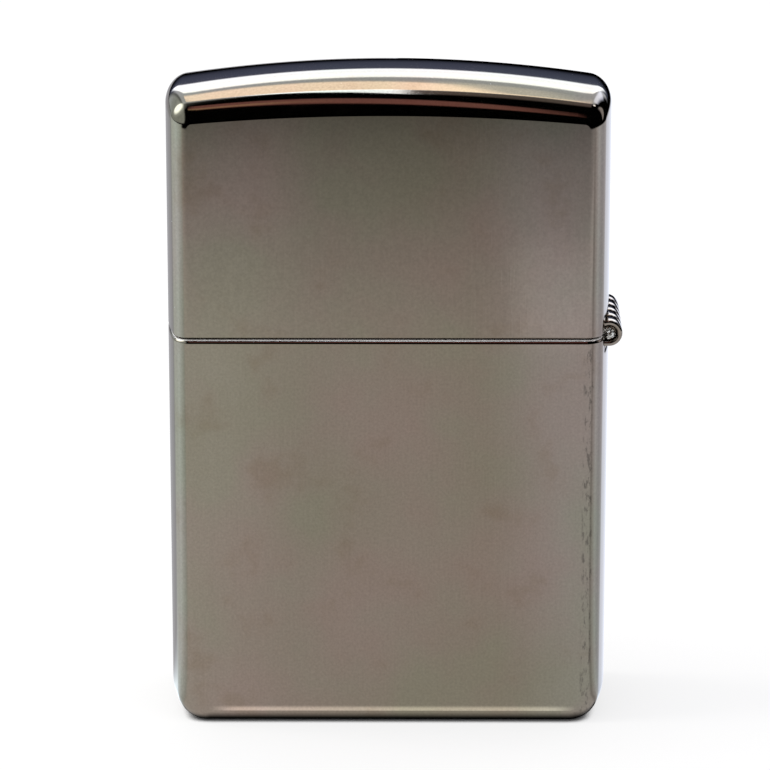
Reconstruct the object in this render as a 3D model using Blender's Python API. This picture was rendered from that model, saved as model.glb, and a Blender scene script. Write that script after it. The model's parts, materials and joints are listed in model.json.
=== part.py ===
"""A flip-top petrol pocket lighter: a hinged two-part case around a lift-out burner insert.

Metres, +Z up. The broad face with the hinge on its right looks along -Y, and the lighter stands on
its base. Every piece is laid out about the case's own mid-planes and hangs from one empty, which
puts the origin under the middle of the whole footprint, hinge included.
"""

import math

import bmesh
import bpy
from mathutils import Matrix, Vector

MM = 0.001

# Case: two deep-drawn cups that meet at the seam.
CASE_WIDTH = 37.9 * MM
CASE_DEPTH = 12.8 * MM
CASE_HEIGHT = 57.4 * MM
SEAM_HEIGHT = 34.8 * MM
SEAM_GAP = 0.2 * MM
CASE_WALL = 0.7 * MM
BASE_CORNER = 2.6 * MM
LID_CORNER = 1.7 * MM
EDGE_RADIUS = 1.2 * MM
SIDE_BOW = 0.9 * MM
CROWN_RADIUS = 108.0 * MM
DEPTH_CROWN = 1.8 * MM
DEPTH_CROWN_POWER = 3
DEPTH_CROWN_EASE = 0.5
BASE_RECESS = 0.35 * MM
BASE_RIM = 3.0 * MM

# Hinge: five knuckles on one pin, three on the lower leaf and two on the lid's.
HINGE_OFFSET = -0.09 * MM
HINGE_LENGTH = 8.5 * MM
KNUCKLE_RADIUS = 1.15 * MM
PIN_RADIUS = 0.65 * MM
KNUCKLE_COUNT = 5
LEAF_THICKNESS = 0.45 * MM
LEAF_HEIGHT = 7.6 * MM
KNUCKLE_GAP = 0.1 * MM
CURL_WRAP = math.radians(300)
NOTCH_REACH = 2.9 * MM

# Clearances: pieces that seat on each other, and pieces that turn in each other.
SEAT = 0.05 * MM
RUNNING = 0.06 * MM

# Insert: the drawn steel tank that carries the burner.
INSERT_WIDTH = 34.5 * MM
INSERT_DEPTH = 10.9 * MM
INSERT_FOOT = 2.0 * MM
INSERT_TOP = 37.65 * MM
INSERT_WALL = 0.4 * MM
INSERT_CORNER = 1.7 * MM
INSERT_SHOULDER = 1.2 * MM

# Chimney: the perforated wind screen, with the wheel's ears and the cam's ears.
SHEET = 0.45 * MM
CHIMNEY_WIDTH = 7.4 * MM
CHIMNEY_FRONT = -5.4 * MM
CHIMNEY_REAR = 7.0 * MM
CHIMNEY_TOP = 54.4 * MM
HOLE_RADIUS = 1.0 * MM
HOLE_PITCH_X = 3.3 * MM
HOLE_PITCH_Z = 3.2 * MM
HOLE_TOP_ROW = 51.0 * MM
SPARK_WINDOW = (4.8 * MM, 5.4 * MM)

# Striker: toothed wheel, its rivet, and the flint column below it.
WHEEL_X = -10.3 * MM
WHEEL_Z = 42.2 * MM
WHEEL_RADIUS = 3.4 * MM
WHEEL_WIDTH = 5.7 * MM
WHEEL_TEETH = 28
TOOTH_DEPTH = 0.38 * MM
WHEEL_RIVET_RADIUS = 0.85 * MM
WHEEL_EAR_RADIUS = 2.1 * MM
FLINT_RADIUS = 1.25 * MM
FLINT_LENGTH = 5.0 * MM
TUBE_BORE = 1.45 * MM
TUBE_RADIUS = 1.9 * MM
TUBE_FOOT = 3.5 * MM
TUBE_TOP = 38.4 * MM
SCREW_HEAD_RADIUS = 2.5 * MM
SCREW_HEAD = 1.4 * MM
SCREW_FOOT = 1.75 * MM
SCREW_TOP = 8.5 * MM
SCREW_PEG = 2.5 * MM
SCREW_SLOT = (0.8 * MM, 0.6 * MM)
SPRING_WIRE = 0.38 * MM
SPRING_RADIUS = 1.08 * MM
SPRING_TURNS = 15
SPRING_SIDES = 6
PLUNGER_HEAD = 1.1 * MM
PLUNGER_STEM_RADIUS = 0.65 * MM
PLUNGER_STEM = 3.0 * MM

# Cam: the sprung lever that snaps the lid open and shut.
CAM_X = 10.6 * MM
CAM_Z = 39.5 * MM
CAM_THICKNESS = 2.4 * MM
CAM_REACH = 7.4 * MM
CAM_ANGLE = math.radians(36)
CAM_THROW = math.radians(41)
CAM_HUB_RADIUS = 1.9 * MM
CAM_NOSE_RADIUS = 0.8 * MM
CAM_FLAT = 2.45 * MM
CAM_RIVET_RADIUS = 0.7 * MM
CAM_EAR_RADIUS = 1.7 * MM
CAM_SLOT = (-2.2 * MM, 2.2 * MM)
CAM_SPRING_THICKNESS = 0.3 * MM
CAM_SPRING_WIDTH = 3.2 * MM
CAM_SPRING_GAP = 0.3 * MM
CAM_SPRING_FOOT = 27.0 * MM
CAM_SPRING_BEND = 1.2 * MM

# Fuel: wick, wadding and the felt that closes the tank.
WICK_X = 0.8 * MM
WICK_RADIUS = 1.5 * MM
WICK_TOP = 46.5 * MM
WICK_FOOT = 9.0 * MM
WICK_SWAY = 3.6 * MM
WICK_POINTS = 22
WADDING_COUNT = 5
WADDING_SPAN = (-7.9 * MM, 16.0 * MM)
WADDING_FOOT = 5.0 * MM
WADDING_TOP = 36.0 * MM
WADDING_DEPTH = 9.4 * MM
FELT_THICKNESS = 2.4 * MM

# Facets per quarter turn, or per full turn of a round piece.
EDGE_SEGMENTS = 5
CORNER_SEGMENTS = 5
DEPTH_SEGMENTS = 8
CROWN_SEGMENTS = 12
ROUND_SEGMENTS = 24
SMALL_ROUND_SEGMENTS = 16
HOLE_SEGMENTS = 12

# Places that follow from the sizes above.
HALF_WIDTH = CASE_WIDTH / 2
HALF_DEPTH = CASE_DEPTH / 2
HINGE_X = HALF_WIDTH + HINGE_OFFSET
HINGE_REACH = HINGE_OFFSET + KNUCKLE_RADIUS
LEAF_BOW = SIDE_BOW * (HINGE_LENGTH / CASE_DEPTH) ** 2
LEAF_OUTER_X = (HALF_WIDTH - CASE_WALL) * (1 - LEAF_BOW / HALF_WIDTH) - SEAT
WHEEL_AXIS = Vector((WHEEL_X, 0, WHEEL_Z))
CAM_AXIS = Vector((CAM_X, 0, CAM_Z))
HINGE_AXIS = Vector((HINGE_X, 0, SEAM_HEIGHT))
FLINT_TOP = WHEEL_Z - WHEEL_RADIUS - SEAT
FLINT_FOOT = FLINT_TOP - FLINT_LENGTH
PLUNGER_TOP = FLINT_FOOT - SEAT
CHIMNEY_FOOT = INSERT_TOP + SEAT
EAR_INNER = CHIMNEY_WIDTH / 2 - SHEET
CAM_EAR_INNER = CAM_THICKNESS / 2 + 0.15 * MM
OVERCUT = 1.0 * MM


def clear_scene():
    """Leaves an empty scene."""
    for obj in list(bpy.data.objects):
        bpy.data.objects.remove(obj, do_unlink=True)


# Materials


def finish(name, colour, metallic, roughness):
    """A Principled material, made once and shared by the pieces of that finish."""
    found = bpy.data.materials.get(name)
    if found:
        return found
    made = bpy.data.materials.new(name)
    made.use_nodes = True
    shader = made.node_tree.nodes["Principled BSDF"]
    shader.inputs["Base Color"].default_value = (*colour, 1)
    shader.inputs["Metallic"].default_value = metallic
    shader.inputs["Roughness"].default_value = roughness
    return made


def black_chrome():
    return finish("black_chrome", (0.24, 0.22, 0.195), 1.0, 0.12)


def stainless_steel():
    return finish("stainless_steel", (0.62, 0.61, 0.59), 1.0, 0.25)


def spring_steel():
    return finish("spring_steel", (0.45, 0.45, 0.46), 1.0, 0.3)


def hard_steel():
    return finish("hard_steel", (0.33, 0.33, 0.34), 1.0, 0.4)


def brass():
    return finish("brass", (0.78, 0.57, 0.25), 1.0, 0.3)


def flint_alloy():
    return finish("flint_alloy", (0.16, 0.15, 0.15), 0.6, 0.7)


def rayon():
    return finish("rayon_wadding", (0.86, 0.85, 0.82), 0.0, 0.95)


def wick_cotton():
    return finish("wick_cotton", (0.8, 0.76, 0.66), 0.0, 0.9)


def grey_felt():
    return finish("grey_felt", (0.55, 0.54, 0.52), 0.0, 0.95)


# Modelling tools


def add_piece(bm, name, material, assembly, origin=Vector()):
    """Turns a bmesh into a named object of the assembly, with its origin at the given point."""
    bmesh.ops.remove_doubles(bm, verts=bm.verts, dist=1e-7)
    bmesh.ops.recalc_face_normals(bm, faces=bm.faces)
    bmesh.ops.translate(bm, verts=bm.verts, vec=-origin)
    mesh = bpy.data.meshes.new(name)
    bm.to_mesh(mesh)
    bm.free()
    mesh.materials.append(material)
    obj = bpy.data.objects.new(name, mesh)
    obj.parent = assembly
    obj.location = origin
    bpy.context.scene.collection.objects.link(obj)
    return obj


def add_helper(bm, name, assembly):
    """A cutter or a joining shape: it shapes other pieces and is no piece itself."""
    obj = add_piece(bm, name, black_chrome(), assembly)
    obj.hide_render = True
    obj.display_type = "WIRE"
    return obj


def combine(piece, helper, operation):
    """Cuts the helper out of the piece, or joins the two."""
    step = piece.modifiers.new(f"{operation.lower()}_{helper.name}", "BOOLEAN")
    step.operation = operation
    step.solver = "EXACT"
    step.object = helper


def arc(centre, radius, start, end, segments):
    """Points along a circular arc in a plane, angles in radians."""
    return [
        (
            centre[0] + radius * math.cos(start + (end - start) * i / segments),
            centre[1] + radius * math.sin(start + (end - start) * i / segments),
        )
        for i in range(segments + 1)
    ]


def ribbon(path, thickness):
    """Outline of a bent sheet of even thickness about its centreline."""
    links = [(after - point).normalized() for point, after in zip(path, path[1:])]
    one_side, other_side = [], []
    for point, behind, ahead in zip(path, links[:1] + links, links + links[-1:]):
        middle = (behind + ahead).normalized()
        offset = Vector((-middle.y, middle.x)) * thickness / 2 / middle.dot(ahead)
        one_side.append(tuple(point + offset))
        other_side.append(tuple(point - offset))
    return one_side + other_side[::-1]


def across(axis, u, v, w):
    """The point with plane coordinates u, v and height w along the prism's axis."""
    return {"X": (w, u, v), "Y": (u, w, v), "Z": (u, v, w)}[axis]


def prism(outline, axis, low, high):
    """A flat outline extruded along an axis."""
    bm = bmesh.new()
    face = bm.faces.new([bm.verts.new(across(axis, u, v, low)) for u, v in outline])
    grown = bmesh.ops.extrude_face_region(bm, geom=[face])
    top = [item for item in grown["geom"] if isinstance(item, bmesh.types.BMVert)]
    bmesh.ops.translate(bm, verts=top, vec=Vector(across(axis, 0, 0, high - low)))
    bmesh.ops.recalc_face_normals(bm, faces=bm.faces)
    return bm


def box(low, high):
    """A plain block between two corners."""
    outline = [(low[0], low[1]), (high[0], low[1]), (high[0], high[1]), (low[0], high[1])]
    return prism(outline, "Z", low[2], high[2])


def rounded_rectangle(half_u, half_v, radius, segments):
    """A rectangle with round corners, about the origin, anticlockwise."""
    points = []
    for quarter, (side_u, side_v) in enumerate(((1, 1), (-1, 1), (-1, -1), (1, -1))):
        centre = (side_u * (half_u - radius), side_v * (half_v - radius))
        start = quarter * math.pi / 2
        points += arc(centre, radius, start, start + math.pi / 2, segments)
    return points


def round_edges(bm, edges, radius, segments):
    """Rolls the given edges over to a radius."""
    bmesh.ops.bevel(
        bm,
        geom=edges,
        offset=radius,
        offset_type="OFFSET",
        segments=segments,
        profile=0.5,
        affect="EDGES",
        clamp_overlap=False,
        material=-1,
    )


def turned(profile, axis, centre, segments):
    """A lathe shape: (radius, height) points spun about an axis through the centre."""
    bm = bmesh.new()
    verts = [bm.verts.new((radius, 0, height)) for radius, height in profile]
    edges = [bm.edges.new((a, b)) for a, b in zip(verts, verts[1:] + verts[:1])]
    bmesh.ops.spin(
        bm,
        geom=verts + edges,
        axis=(0, 0, 1),
        cent=(0, 0, 0),
        angle=2 * math.pi,
        steps=segments,
        use_merge=True,
    )
    bmesh.ops.remove_doubles(bm, verts=bm.verts, dist=1e-7)
    lone = [edge for edge in bm.edges if not edge.link_faces]
    bmesh.ops.delete(bm, geom=lone, context="EDGES")
    if axis == "Y":
        bmesh.ops.rotate(bm, verts=bm.verts, matrix=Matrix.Rotation(-math.pi / 2, 3, "X"))
    bmesh.ops.translate(bm, verts=bm.verts, vec=centre)
    bmesh.ops.recalc_face_normals(bm, faces=bm.faces)
    return bm


def rod(radius, low, high, axis, centre, segments):
    """A plain round bar from low to high along its axis."""
    return turned([(0, high), (radius, high), (radius, low), (0, low)], axis, centre, segments)


def pipe(bore, radius, low, high, axis, centre, segments):
    """A plain round tube from low to high along its axis."""
    profile = [(bore, high), (radius, high), (radius, low), (bore, low)]
    return turned(profile, axis, centre, segments)


def swept(path, radius, sides, level):
    """A round cord of straight links along a path that never runs along the level direction."""
    bm = bmesh.new()
    rings = []
    for i, point in enumerate(path):
        ahead = (path[min(i + 1, len(path) - 1)] - path[max(i - 1, 0)]).normalized()
        across_path = level.cross(ahead).normalized()
        turn = Matrix((across_path, ahead.cross(across_path), ahead)).transposed().to_4x4()
        ring = bmesh.ops.create_circle(
            bm, segments=sides, radius=radius, matrix=Matrix.Translation(point) @ turn
        )
        rings.append(ring["verts"])
    for lower, upper in zip(rings, rings[1:]):
        for i in range(sides):
            j = (i + 1) % sides
            bm.faces.new((lower[i], lower[j], upper[j], upper[i]))
    bm.faces.new(rings[0])
    bm.faces.new(rings[-1])
    bmesh.ops.recalc_face_normals(bm, faces=bm.faces)
    return bm


# Case


def cup_outline(inset, foot, rim):
    """Front view of the lower case, its bottom corners rounded."""
    half = HALF_WIDTH - inset
    radius = BASE_CORNER - inset
    left = arc((radius - half, foot + radius), radius, math.pi, 1.5 * math.pi, CORNER_SEGMENTS)
    right = arc((half - radius, foot + radius), radius, 1.5 * math.pi, 2 * math.pi, CORNER_SEGMENTS)
    return [(half, rim), (-half, rim)] + left + right


def lid_outline(inset, rim):
    """Front view of the lid: straight sides, round corners and an arched top."""
    half = HALF_WIDTH - inset
    radius = LID_CORNER - inset
    top = CASE_HEIGHT - inset
    lean = math.asin((half - radius) / (CROWN_RADIUS - inset - radius))
    corner_z = top - CROWN_RADIUS + inset + (CROWN_RADIUS - inset - radius) * math.cos(lean)
    right = arc((half - radius, corner_z), radius, 0, math.pi / 2 - lean, CORNER_SEGMENTS)
    left = [(-x, z) for x, z in reversed(right)]
    crown_centre = (0, top - CROWN_RADIUS + inset)
    crown = arc(
        crown_centre,
        CROWN_RADIUS - inset,
        math.pi / 2 - lean,
        math.pi / 2 + lean,
        CROWN_SEGMENTS,
    )
    return [(-half, rim), (half, rim)] + right + crown[1:-1] + left


def drawn_block(outline, inset, rim):
    """A front-view outline pulled through the depth, with every edge but the rim's rolled over."""
    half = HALF_DEPTH - inset
    bm = prism(outline, "Y", -half, half)
    rolled = [
        edge
        for edge in bm.edges
        if abs(edge.verts[0].co.y - edge.verts[1].co.y) < SEAT
        and not all(abs(vert.co.z - rim) < SEAT for vert in edge.verts)
    ]
    round_edges(bm, rolled, EDGE_RADIUS - inset, EDGE_SEGMENTS)
    return bm


def shape_through_depth(bm):
    """Bows the sides out towards mid-depth, and lets a lid's top fall away to front and back."""
    flat = HALF_DEPTH - EDGE_RADIUS
    for cut in range(1, DEPTH_SEGMENTS):
        bmesh.ops.bisect_plane(
            bm,
            geom=bm.verts[:] + bm.edges[:] + bm.faces[:],
            plane_co=(0, flat * (2 * cut / DEPTH_SEGMENTS - 1), 0),
            plane_no=(0, 1, 0),
        )
    for vert in bm.verts:
        depth = abs(vert.co.y / HALF_DEPTH)
        if vert.co.z > CASE_HEIGHT - 2 * LID_CORNER - EDGE_RADIUS:
            fall = DEPTH_CROWN * (1 - DEPTH_CROWN_EASE * (vert.co.x / HALF_WIDTH) ** 2)
            vert.co.z -= fall * depth**DEPTH_CROWN_POWER
        vert.co.x *= 1 - SIDE_BOW / HALF_WIDTH * depth**2
    return bm


def hinge_notch(assembly, name):
    """The slot through both side walls that the knuckles stand in."""
    half = HINGE_LENGTH / 2 + 2 * KNUCKLE_GAP
    low = (HALF_WIDTH - CASE_WALL - OVERCUT, -half, SEAM_HEIGHT - NOTCH_REACH)
    high = (HALF_WIDTH + OVERCUT, half, SEAM_HEIGHT + NOTCH_REACH)
    return add_helper(box(low, high), name, assembly)


def bottom_case(assembly):
    """Drawn lower cup with a shallow recessed base."""
    rim = SEAM_HEIGHT - SEAM_GAP / 2
    shell = shape_through_depth(drawn_block(cup_outline(0, 0, rim), 0, rim))
    piece = add_piece(shell, "bottom_case", black_chrome(), assembly)
    open_rim = rim + OVERCUT
    floor = CASE_WALL + BASE_RECESS
    cavity = shape_through_depth(
        drawn_block(cup_outline(CASE_WALL, floor, open_rim), CASE_WALL, open_rim)
    )
    combine(piece, add_helper(cavity, "cup_cavity", assembly), "DIFFERENCE")
    recess = rounded_rectangle(
        HALF_WIDTH - BASE_RIM, HALF_DEPTH - BASE_RIM, BASE_CORNER, CORNER_SEGMENTS
    )
    pan = prism(recess, "Z", -OVERCUT, BASE_RECESS)
    combine(piece, add_helper(pan, "base_pan", assembly), "DIFFERENCE")
    combine(piece, hinge_notch(assembly, "lower_notch"), "DIFFERENCE")
    return piece


def lid(assembly):
    """Drawn upper cup with an arched top, turning on the hinge axis."""
    rim = SEAM_HEIGHT + SEAM_GAP / 2
    shell = shape_through_depth(drawn_block(lid_outline(0, rim), 0, rim))
    piece = add_piece(shell, "lid", black_chrome(), assembly, HINGE_AXIS)
    open_rim = rim - OVERCUT
    cavity = shape_through_depth(
        drawn_block(lid_outline(CASE_WALL, open_rim), CASE_WALL, open_rim)
    )
    combine(piece, add_helper(cavity, "lid_cavity", assembly), "DIFFERENCE")
    combine(piece, hinge_notch(assembly, "upper_notch"), "DIFFERENCE")
    return piece


# Hinge


def knuckle_span(index):
    """Where one knuckle starts and ends along the pin."""
    step = HINGE_LENGTH / KNUCKLE_COUNT
    start = -HINGE_LENGTH / 2 + index * step
    return start + KNUCKLE_GAP / 2, start + step - KNUCKLE_GAP / 2


def leaf_path():
    """Centreline of the lower leaf: up inside the wall, out through the slot, round the pin."""
    plate_x = LEAF_OUTER_X - LEAF_THICKNESS / 2
    roll = KNUCKLE_RADIUS - LEAF_THICKNESS / 2
    leave = (HINGE_X + roll * math.sqrt(0.5), SEAM_HEIGHT - roll * math.sqrt(0.5))
    bend_z = leave[1] - (leave[0] - plate_x)
    bend = LEAF_THICKNESS * 1.5
    setback = bend * math.tan(math.pi / 8)
    path = [(plate_x, SEAM_HEIGHT - LEAF_HEIGHT)]
    path += arc((plate_x + bend, bend_z - setback), bend, math.pi, 0.75 * math.pi, CORNER_SEGMENTS)
    start = -math.pi / 4
    path += arc((HINGE_X, SEAM_HEIGHT), roll, start, start + CURL_WRAP, ROUND_SEGMENTS)
    return [Vector(point) for point in path]


def hinge_leaf(assembly, name, own, side, origin):
    """A plate inside the case wall whose edge is curled round the pin between the other's curls."""
    path = leaf_path()
    if side > 0:
        path = [Vector((point.x, 2 * SEAM_HEIGHT - point.y)) for point in path]
    half = HINGE_LENGTH / 2 - KNUCKLE_GAP / 2
    curled = prism(ribbon(path, LEAF_THICKNESS), "Y", -half, half)
    piece = add_piece(curled, name, black_chrome(), assembly, origin)
    for index in range(KNUCKLE_COUNT):
        if index in own:
            continue
        start, end = knuckle_span(index)
        start = start - KNUCKLE_GAP if index else start - OVERCUT
        end = end + KNUCKLE_GAP if index + 1 < KNUCKLE_COUNT else end + OVERCUT
        room = KNUCKLE_RADIUS + 1.5 * KNUCKLE_GAP
        gap = rod(room, start, end, "Y", HINGE_AXIS, ROUND_SEGMENTS)
        combine(piece, add_helper(gap, f"{name}_gap_{index}", assembly), "DIFFERENCE")
    return piece


def hinge_pin(assembly):
    half = HINGE_LENGTH / 2
    shaft = rod(PIN_RADIUS, -half, half, "Y", HINGE_AXIS, ROUND_SEGMENTS)
    return add_piece(shaft, "hinge_pin", spring_steel(), assembly, HINGE_AXIS)


# Insert


def insert_block(inset, foot):
    """The tank's outside, or its inside when inset: a tall block with a rolled shoulder."""
    radius = INSERT_CORNER - inset
    outline = rounded_rectangle(
        INSERT_WIDTH / 2 - inset, INSERT_DEPTH / 2 - inset, radius, CORNER_SEGMENTS
    )
    top = INSERT_TOP - inset
    bm = prism(outline, "Z", foot, top)
    shoulder = [edge for edge in bm.edges if all(abs(v.co.z - top) < SEAT for v in edge.verts)]
    round_edges(bm, shoulder, INSERT_SHOULDER - inset, EDGE_SEGMENTS)
    return bm


def insert_shell(assembly):
    """Open-bottomed steel tank with holes for the wick, the flint tube and the cam."""
    piece = add_piece(insert_block(0, INSERT_FOOT), "insert_shell", stainless_steel(), assembly)
    cavity = insert_block(INSERT_WALL, INSERT_FOOT - OVERCUT)
    combine(piece, add_helper(cavity, "tank_cavity", assembly), "DIFFERENCE")
    low, high = INSERT_TOP - INSERT_WALL - OVERCUT, INSERT_TOP + OVERCUT
    for name, x, radius in (
        ("wick_hole", WICK_X, WICK_RADIUS + 4 * SEAT),
        ("flint_hole", WHEEL_X, TUBE_RADIUS + SEAT),
    ):
        hole = rod(radius, low, high, "Z", Vector((x, 0, 0)), ROUND_SEGMENTS)
        combine(piece, add_helper(hole, name, assembly), "DIFFERENCE")
    half = CAM_THICKNESS / 2 + 4 * SEAT
    slot = box((CAM_X + CAM_SLOT[0], -half, low), (CAM_X + CAM_SLOT[1], half, high))
    combine(piece, add_helper(slot, "cam_slot", assembly), "DIFFERENCE")
    return piece


def chimney_plan(inset):
    """Plan of the wind screen: square at the wheel, half round at the cam."""
    half = CHIMNEY_WIDTH / 2 - inset
    front = CHIMNEY_FRONT + inset
    centre = (CHIMNEY_REAR - CHIMNEY_WIDTH / 2, 0)
    rear = arc(centre, half, -math.pi / 2, math.pi / 2, 3 * CORNER_SEGMENTS)
    return [(front, half), (front, -half)] + rear


def ear_outline(root_x, root_top, centre, radius):
    """Side view of a bearing ear: a plate from the screen, rounded off about its rivet."""
    side = 1 if centre.x > root_x else -1
    reach = math.hypot(root_x - centre.x, root_top - centre.z)
    slope = math.atan2(root_top - centre.z, root_x - centre.x) - side * math.acos(radius / reach)
    end = 0 if side > 0 else math.pi
    tip = arc((centre.x, centre.z), radius, slope, end, 2 * CORNER_SEGMENTS)
    foot = CHIMNEY_FOOT
    return [(root_x, foot), (root_x, root_top)] + tip + [(tip[-1][0], foot)]


def chimney(assembly):
    """Wind screen of bent sheet, open at the top, with rows of air holes and two pairs of ears."""
    body = prism(chimney_plan(0), "Z", CHIMNEY_FOOT, CHIMNEY_TOP)
    piece = add_piece(body, "chimney", stainless_steel(), assembly)
    flue = prism(chimney_plan(SHEET), "Z", CHIMNEY_FOOT - OVERCUT, CHIMNEY_TOP + OVERCUT)
    combine(piece, add_helper(flue, "flue", assembly), "DIFFERENCE")
    width, height = SPARK_WINDOW
    window = box(
        (CHIMNEY_FRONT - OVERCUT, -width / 2, CHIMNEY_FOOT + OVERCUT),
        (CHIMNEY_FRONT + SHEET + OVERCUT, width / 2, CHIMNEY_FOOT + OVERCUT + height),
    )
    combine(piece, add_helper(window, "spark_window", assembly), "DIFFERENCE")
    middle = WICK_X
    for row, columns in enumerate((3, 2, 3)):
        for column in range(columns):
            x = middle + (column - (columns - 1) / 2) * HOLE_PITCH_X
            centre = Vector((x, 0, HOLE_TOP_ROW - row * HOLE_PITCH_Z))
            hole = rod(HOLE_RADIUS, -CHIMNEY_WIDTH, CHIMNEY_WIDTH, "Y", centre, HOLE_SEGMENTS)
            name = f"air_hole_{row}_{column}"
            combine(piece, add_helper(hole, name, assembly), "DIFFERENCE")
    wheel_root = CHIMNEY_FRONT + SHEET / 2
    wheel_ear = ear_outline(wheel_root, WHEEL_Z + 4 * MM, WHEEL_AXIS, WHEEL_EAR_RADIUS)
    cam_root = CHIMNEY_REAR - 2 * SHEET
    cam_ear = ear_outline(cam_root, CAM_Z + 2 * MM, CAM_AXIS, CAM_EAR_RADIUS)
    for name, outline, inner in (
        ("wheel_ear", wheel_ear, EAR_INNER),
        ("cam_ear", cam_ear, CAM_EAR_INNER),
    ):
        for side in (-1, 1):
            faces = sorted((side * inner, side * (inner + SHEET)))
            plate = prism(outline, "Y", *faces)
            combine(piece, add_helper(plate, f"{name}_{side + 1}", assembly), "UNION")
    for name, centre, radius in (
        ("wheel_rivet_hole", WHEEL_AXIS, WHEEL_RIVET_RADIUS + SEAT),
        ("cam_rivet_hole", CAM_AXIS, CAM_RIVET_RADIUS + SEAT),
    ):
        hole = rod(radius, -CHIMNEY_WIDTH, CHIMNEY_WIDTH, "Y", centre, SMALL_ROUND_SEGMENTS)
        combine(piece, add_helper(hole, name, assembly), "DIFFERENCE")
    return piece


def rivet(assembly, name, radius, head_radius, half_span, centre):
    """A pin with a domed head formed on each end."""
    head = head_radius / 2
    dome = head_radius * 0.7
    profile = [
        (0, half_span + head),
        (dome, half_span + 0.8 * head),
        (head_radius, half_span + 0.3 * head),
        (head_radius, half_span),
        (radius, half_span),
    ]
    profile += [(r, -height) for r, height in reversed(profile)]
    bm = turned(profile, "Y", centre, SMALL_ROUND_SEGMENTS)
    return add_piece(bm, name, stainless_steel(), assembly, centre)


# Striker


def wheel_outline():
    """Saw-toothed rim of the striker wheel, about its own axis."""
    points = []
    for tooth in range(WHEEL_TEETH):
        start = 2 * math.pi * tooth / WHEEL_TEETH
        crest = start + 1.5 * math.pi / WHEEL_TEETH
        points.append((WHEEL_RADIUS - TOOTH_DEPTH, start))
        points.append((WHEEL_RADIUS, crest))
    return [(radius * math.cos(angle), radius * math.sin(angle)) for radius, angle in points]


def flint_wheel(assembly):
    """Striker wheel whose file teeth slant one way on one half and the other way on the other."""
    bm = bmesh.new()
    half = WHEEL_WIDTH / 2
    section = bm.faces.new([bm.verts.new((x, -half, z)) for x, z in wheel_outline()])
    slant = math.pi / WHEEL_TEETH
    for turn in (slant, -slant):
        grown = bmesh.ops.extrude_face_region(bm, geom=[section])["geom"]
        verts = [item for item in grown if isinstance(item, bmesh.types.BMVert)]
        end = next(item for item in grown if isinstance(item, bmesh.types.BMFace))
        bmesh.ops.translate(bm, verts=verts, vec=(0, half, 0))
        bmesh.ops.rotate(bm, verts=verts, matrix=Matrix.Rotation(turn, 3, "Y"))
        if section.calc_center_median().y > SEAT - half:
            bm.faces.remove(section)
        section = end
    bmesh.ops.translate(bm, verts=bm.verts, vec=WHEEL_AXIS)
    piece = add_piece(bm, "flint_wheel", hard_steel(), assembly, WHEEL_AXIS)
    bore = WHEEL_RIVET_RADIUS + RUNNING
    hole = rod(bore, -WHEEL_WIDTH, WHEEL_WIDTH, "Y", WHEEL_AXIS, SMALL_ROUND_SEGMENTS)
    combine(piece, add_helper(hole, "wheel_bore", assembly), "DIFFERENCE")
    return piece


def flint_tube(assembly):
    centre = Vector((WHEEL_X, 0, 0))
    bm = pipe(TUBE_BORE, TUBE_RADIUS, TUBE_FOOT, TUBE_TOP, "Z", centre, ROUND_SEGMENTS)
    return add_piece(bm, "flint_tube", brass(), assembly)


def flint(assembly):
    """Flint rod, its top worn to the wheel's curve."""
    centre = Vector((WHEEL_X, 0, 0))
    raised = FLINT_TOP + OVERCUT
    bm = rod(FLINT_RADIUS, FLINT_FOOT, raised, "Z", centre, SMALL_ROUND_SEGMENTS)
    piece = add_piece(bm, "flint", flint_alloy(), assembly, Vector((WHEEL_X, 0, FLINT_FOOT)))
    wear = rod(
        WHEEL_RADIUS + SEAT, -WHEEL_WIDTH, WHEEL_WIDTH, "Y", WHEEL_AXIS, 3 * ROUND_SEGMENTS
    )
    combine(piece, add_helper(wear, "flint_wear", assembly), "DIFFERENCE")
    return piece


def flint_plunger(assembly):
    """Brass tip that carries the flint on top of the spring."""
    neck = PLUNGER_TOP - PLUNGER_HEAD
    profile = [
        (0, PLUNGER_TOP),
        (FLINT_RADIUS, PLUNGER_TOP),
        (FLINT_RADIUS, neck),
        (PLUNGER_STEM_RADIUS, neck),
        (PLUNGER_STEM_RADIUS, neck - PLUNGER_STEM),
        (0, neck - PLUNGER_STEM),
    ]
    bm = turned(profile, "Z", Vector((WHEEL_X, 0, 0)), SMALL_ROUND_SEGMENTS)
    return add_piece(bm, "flint_plunger", brass(), assembly, Vector((WHEEL_X, 0, PLUNGER_TOP)))


def flint_spring(assembly):
    """Compression spring between the screw and the plunger."""
    low = SCREW_TOP + SEAT + SPRING_WIRE / 2
    high = PLUNGER_TOP - PLUNGER_HEAD - SEAT - SPRING_WIRE / 2
    steps = SPRING_TURNS * HOLE_SEGMENTS
    path = []
    for i in range(steps + 1):
        angle = 2 * math.pi * i / HOLE_SEGMENTS
        height = low + (high - low) * i / steps
        x = WHEEL_X + SPRING_RADIUS * math.cos(angle)
        path.append(Vector((x, SPRING_RADIUS * math.sin(angle), height)))
    bm = swept(path, SPRING_WIRE / 2, SPRING_SIDES, Vector((0, 0, 1)))
    return add_piece(bm, "flint_spring", spring_steel(), assembly)


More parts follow.
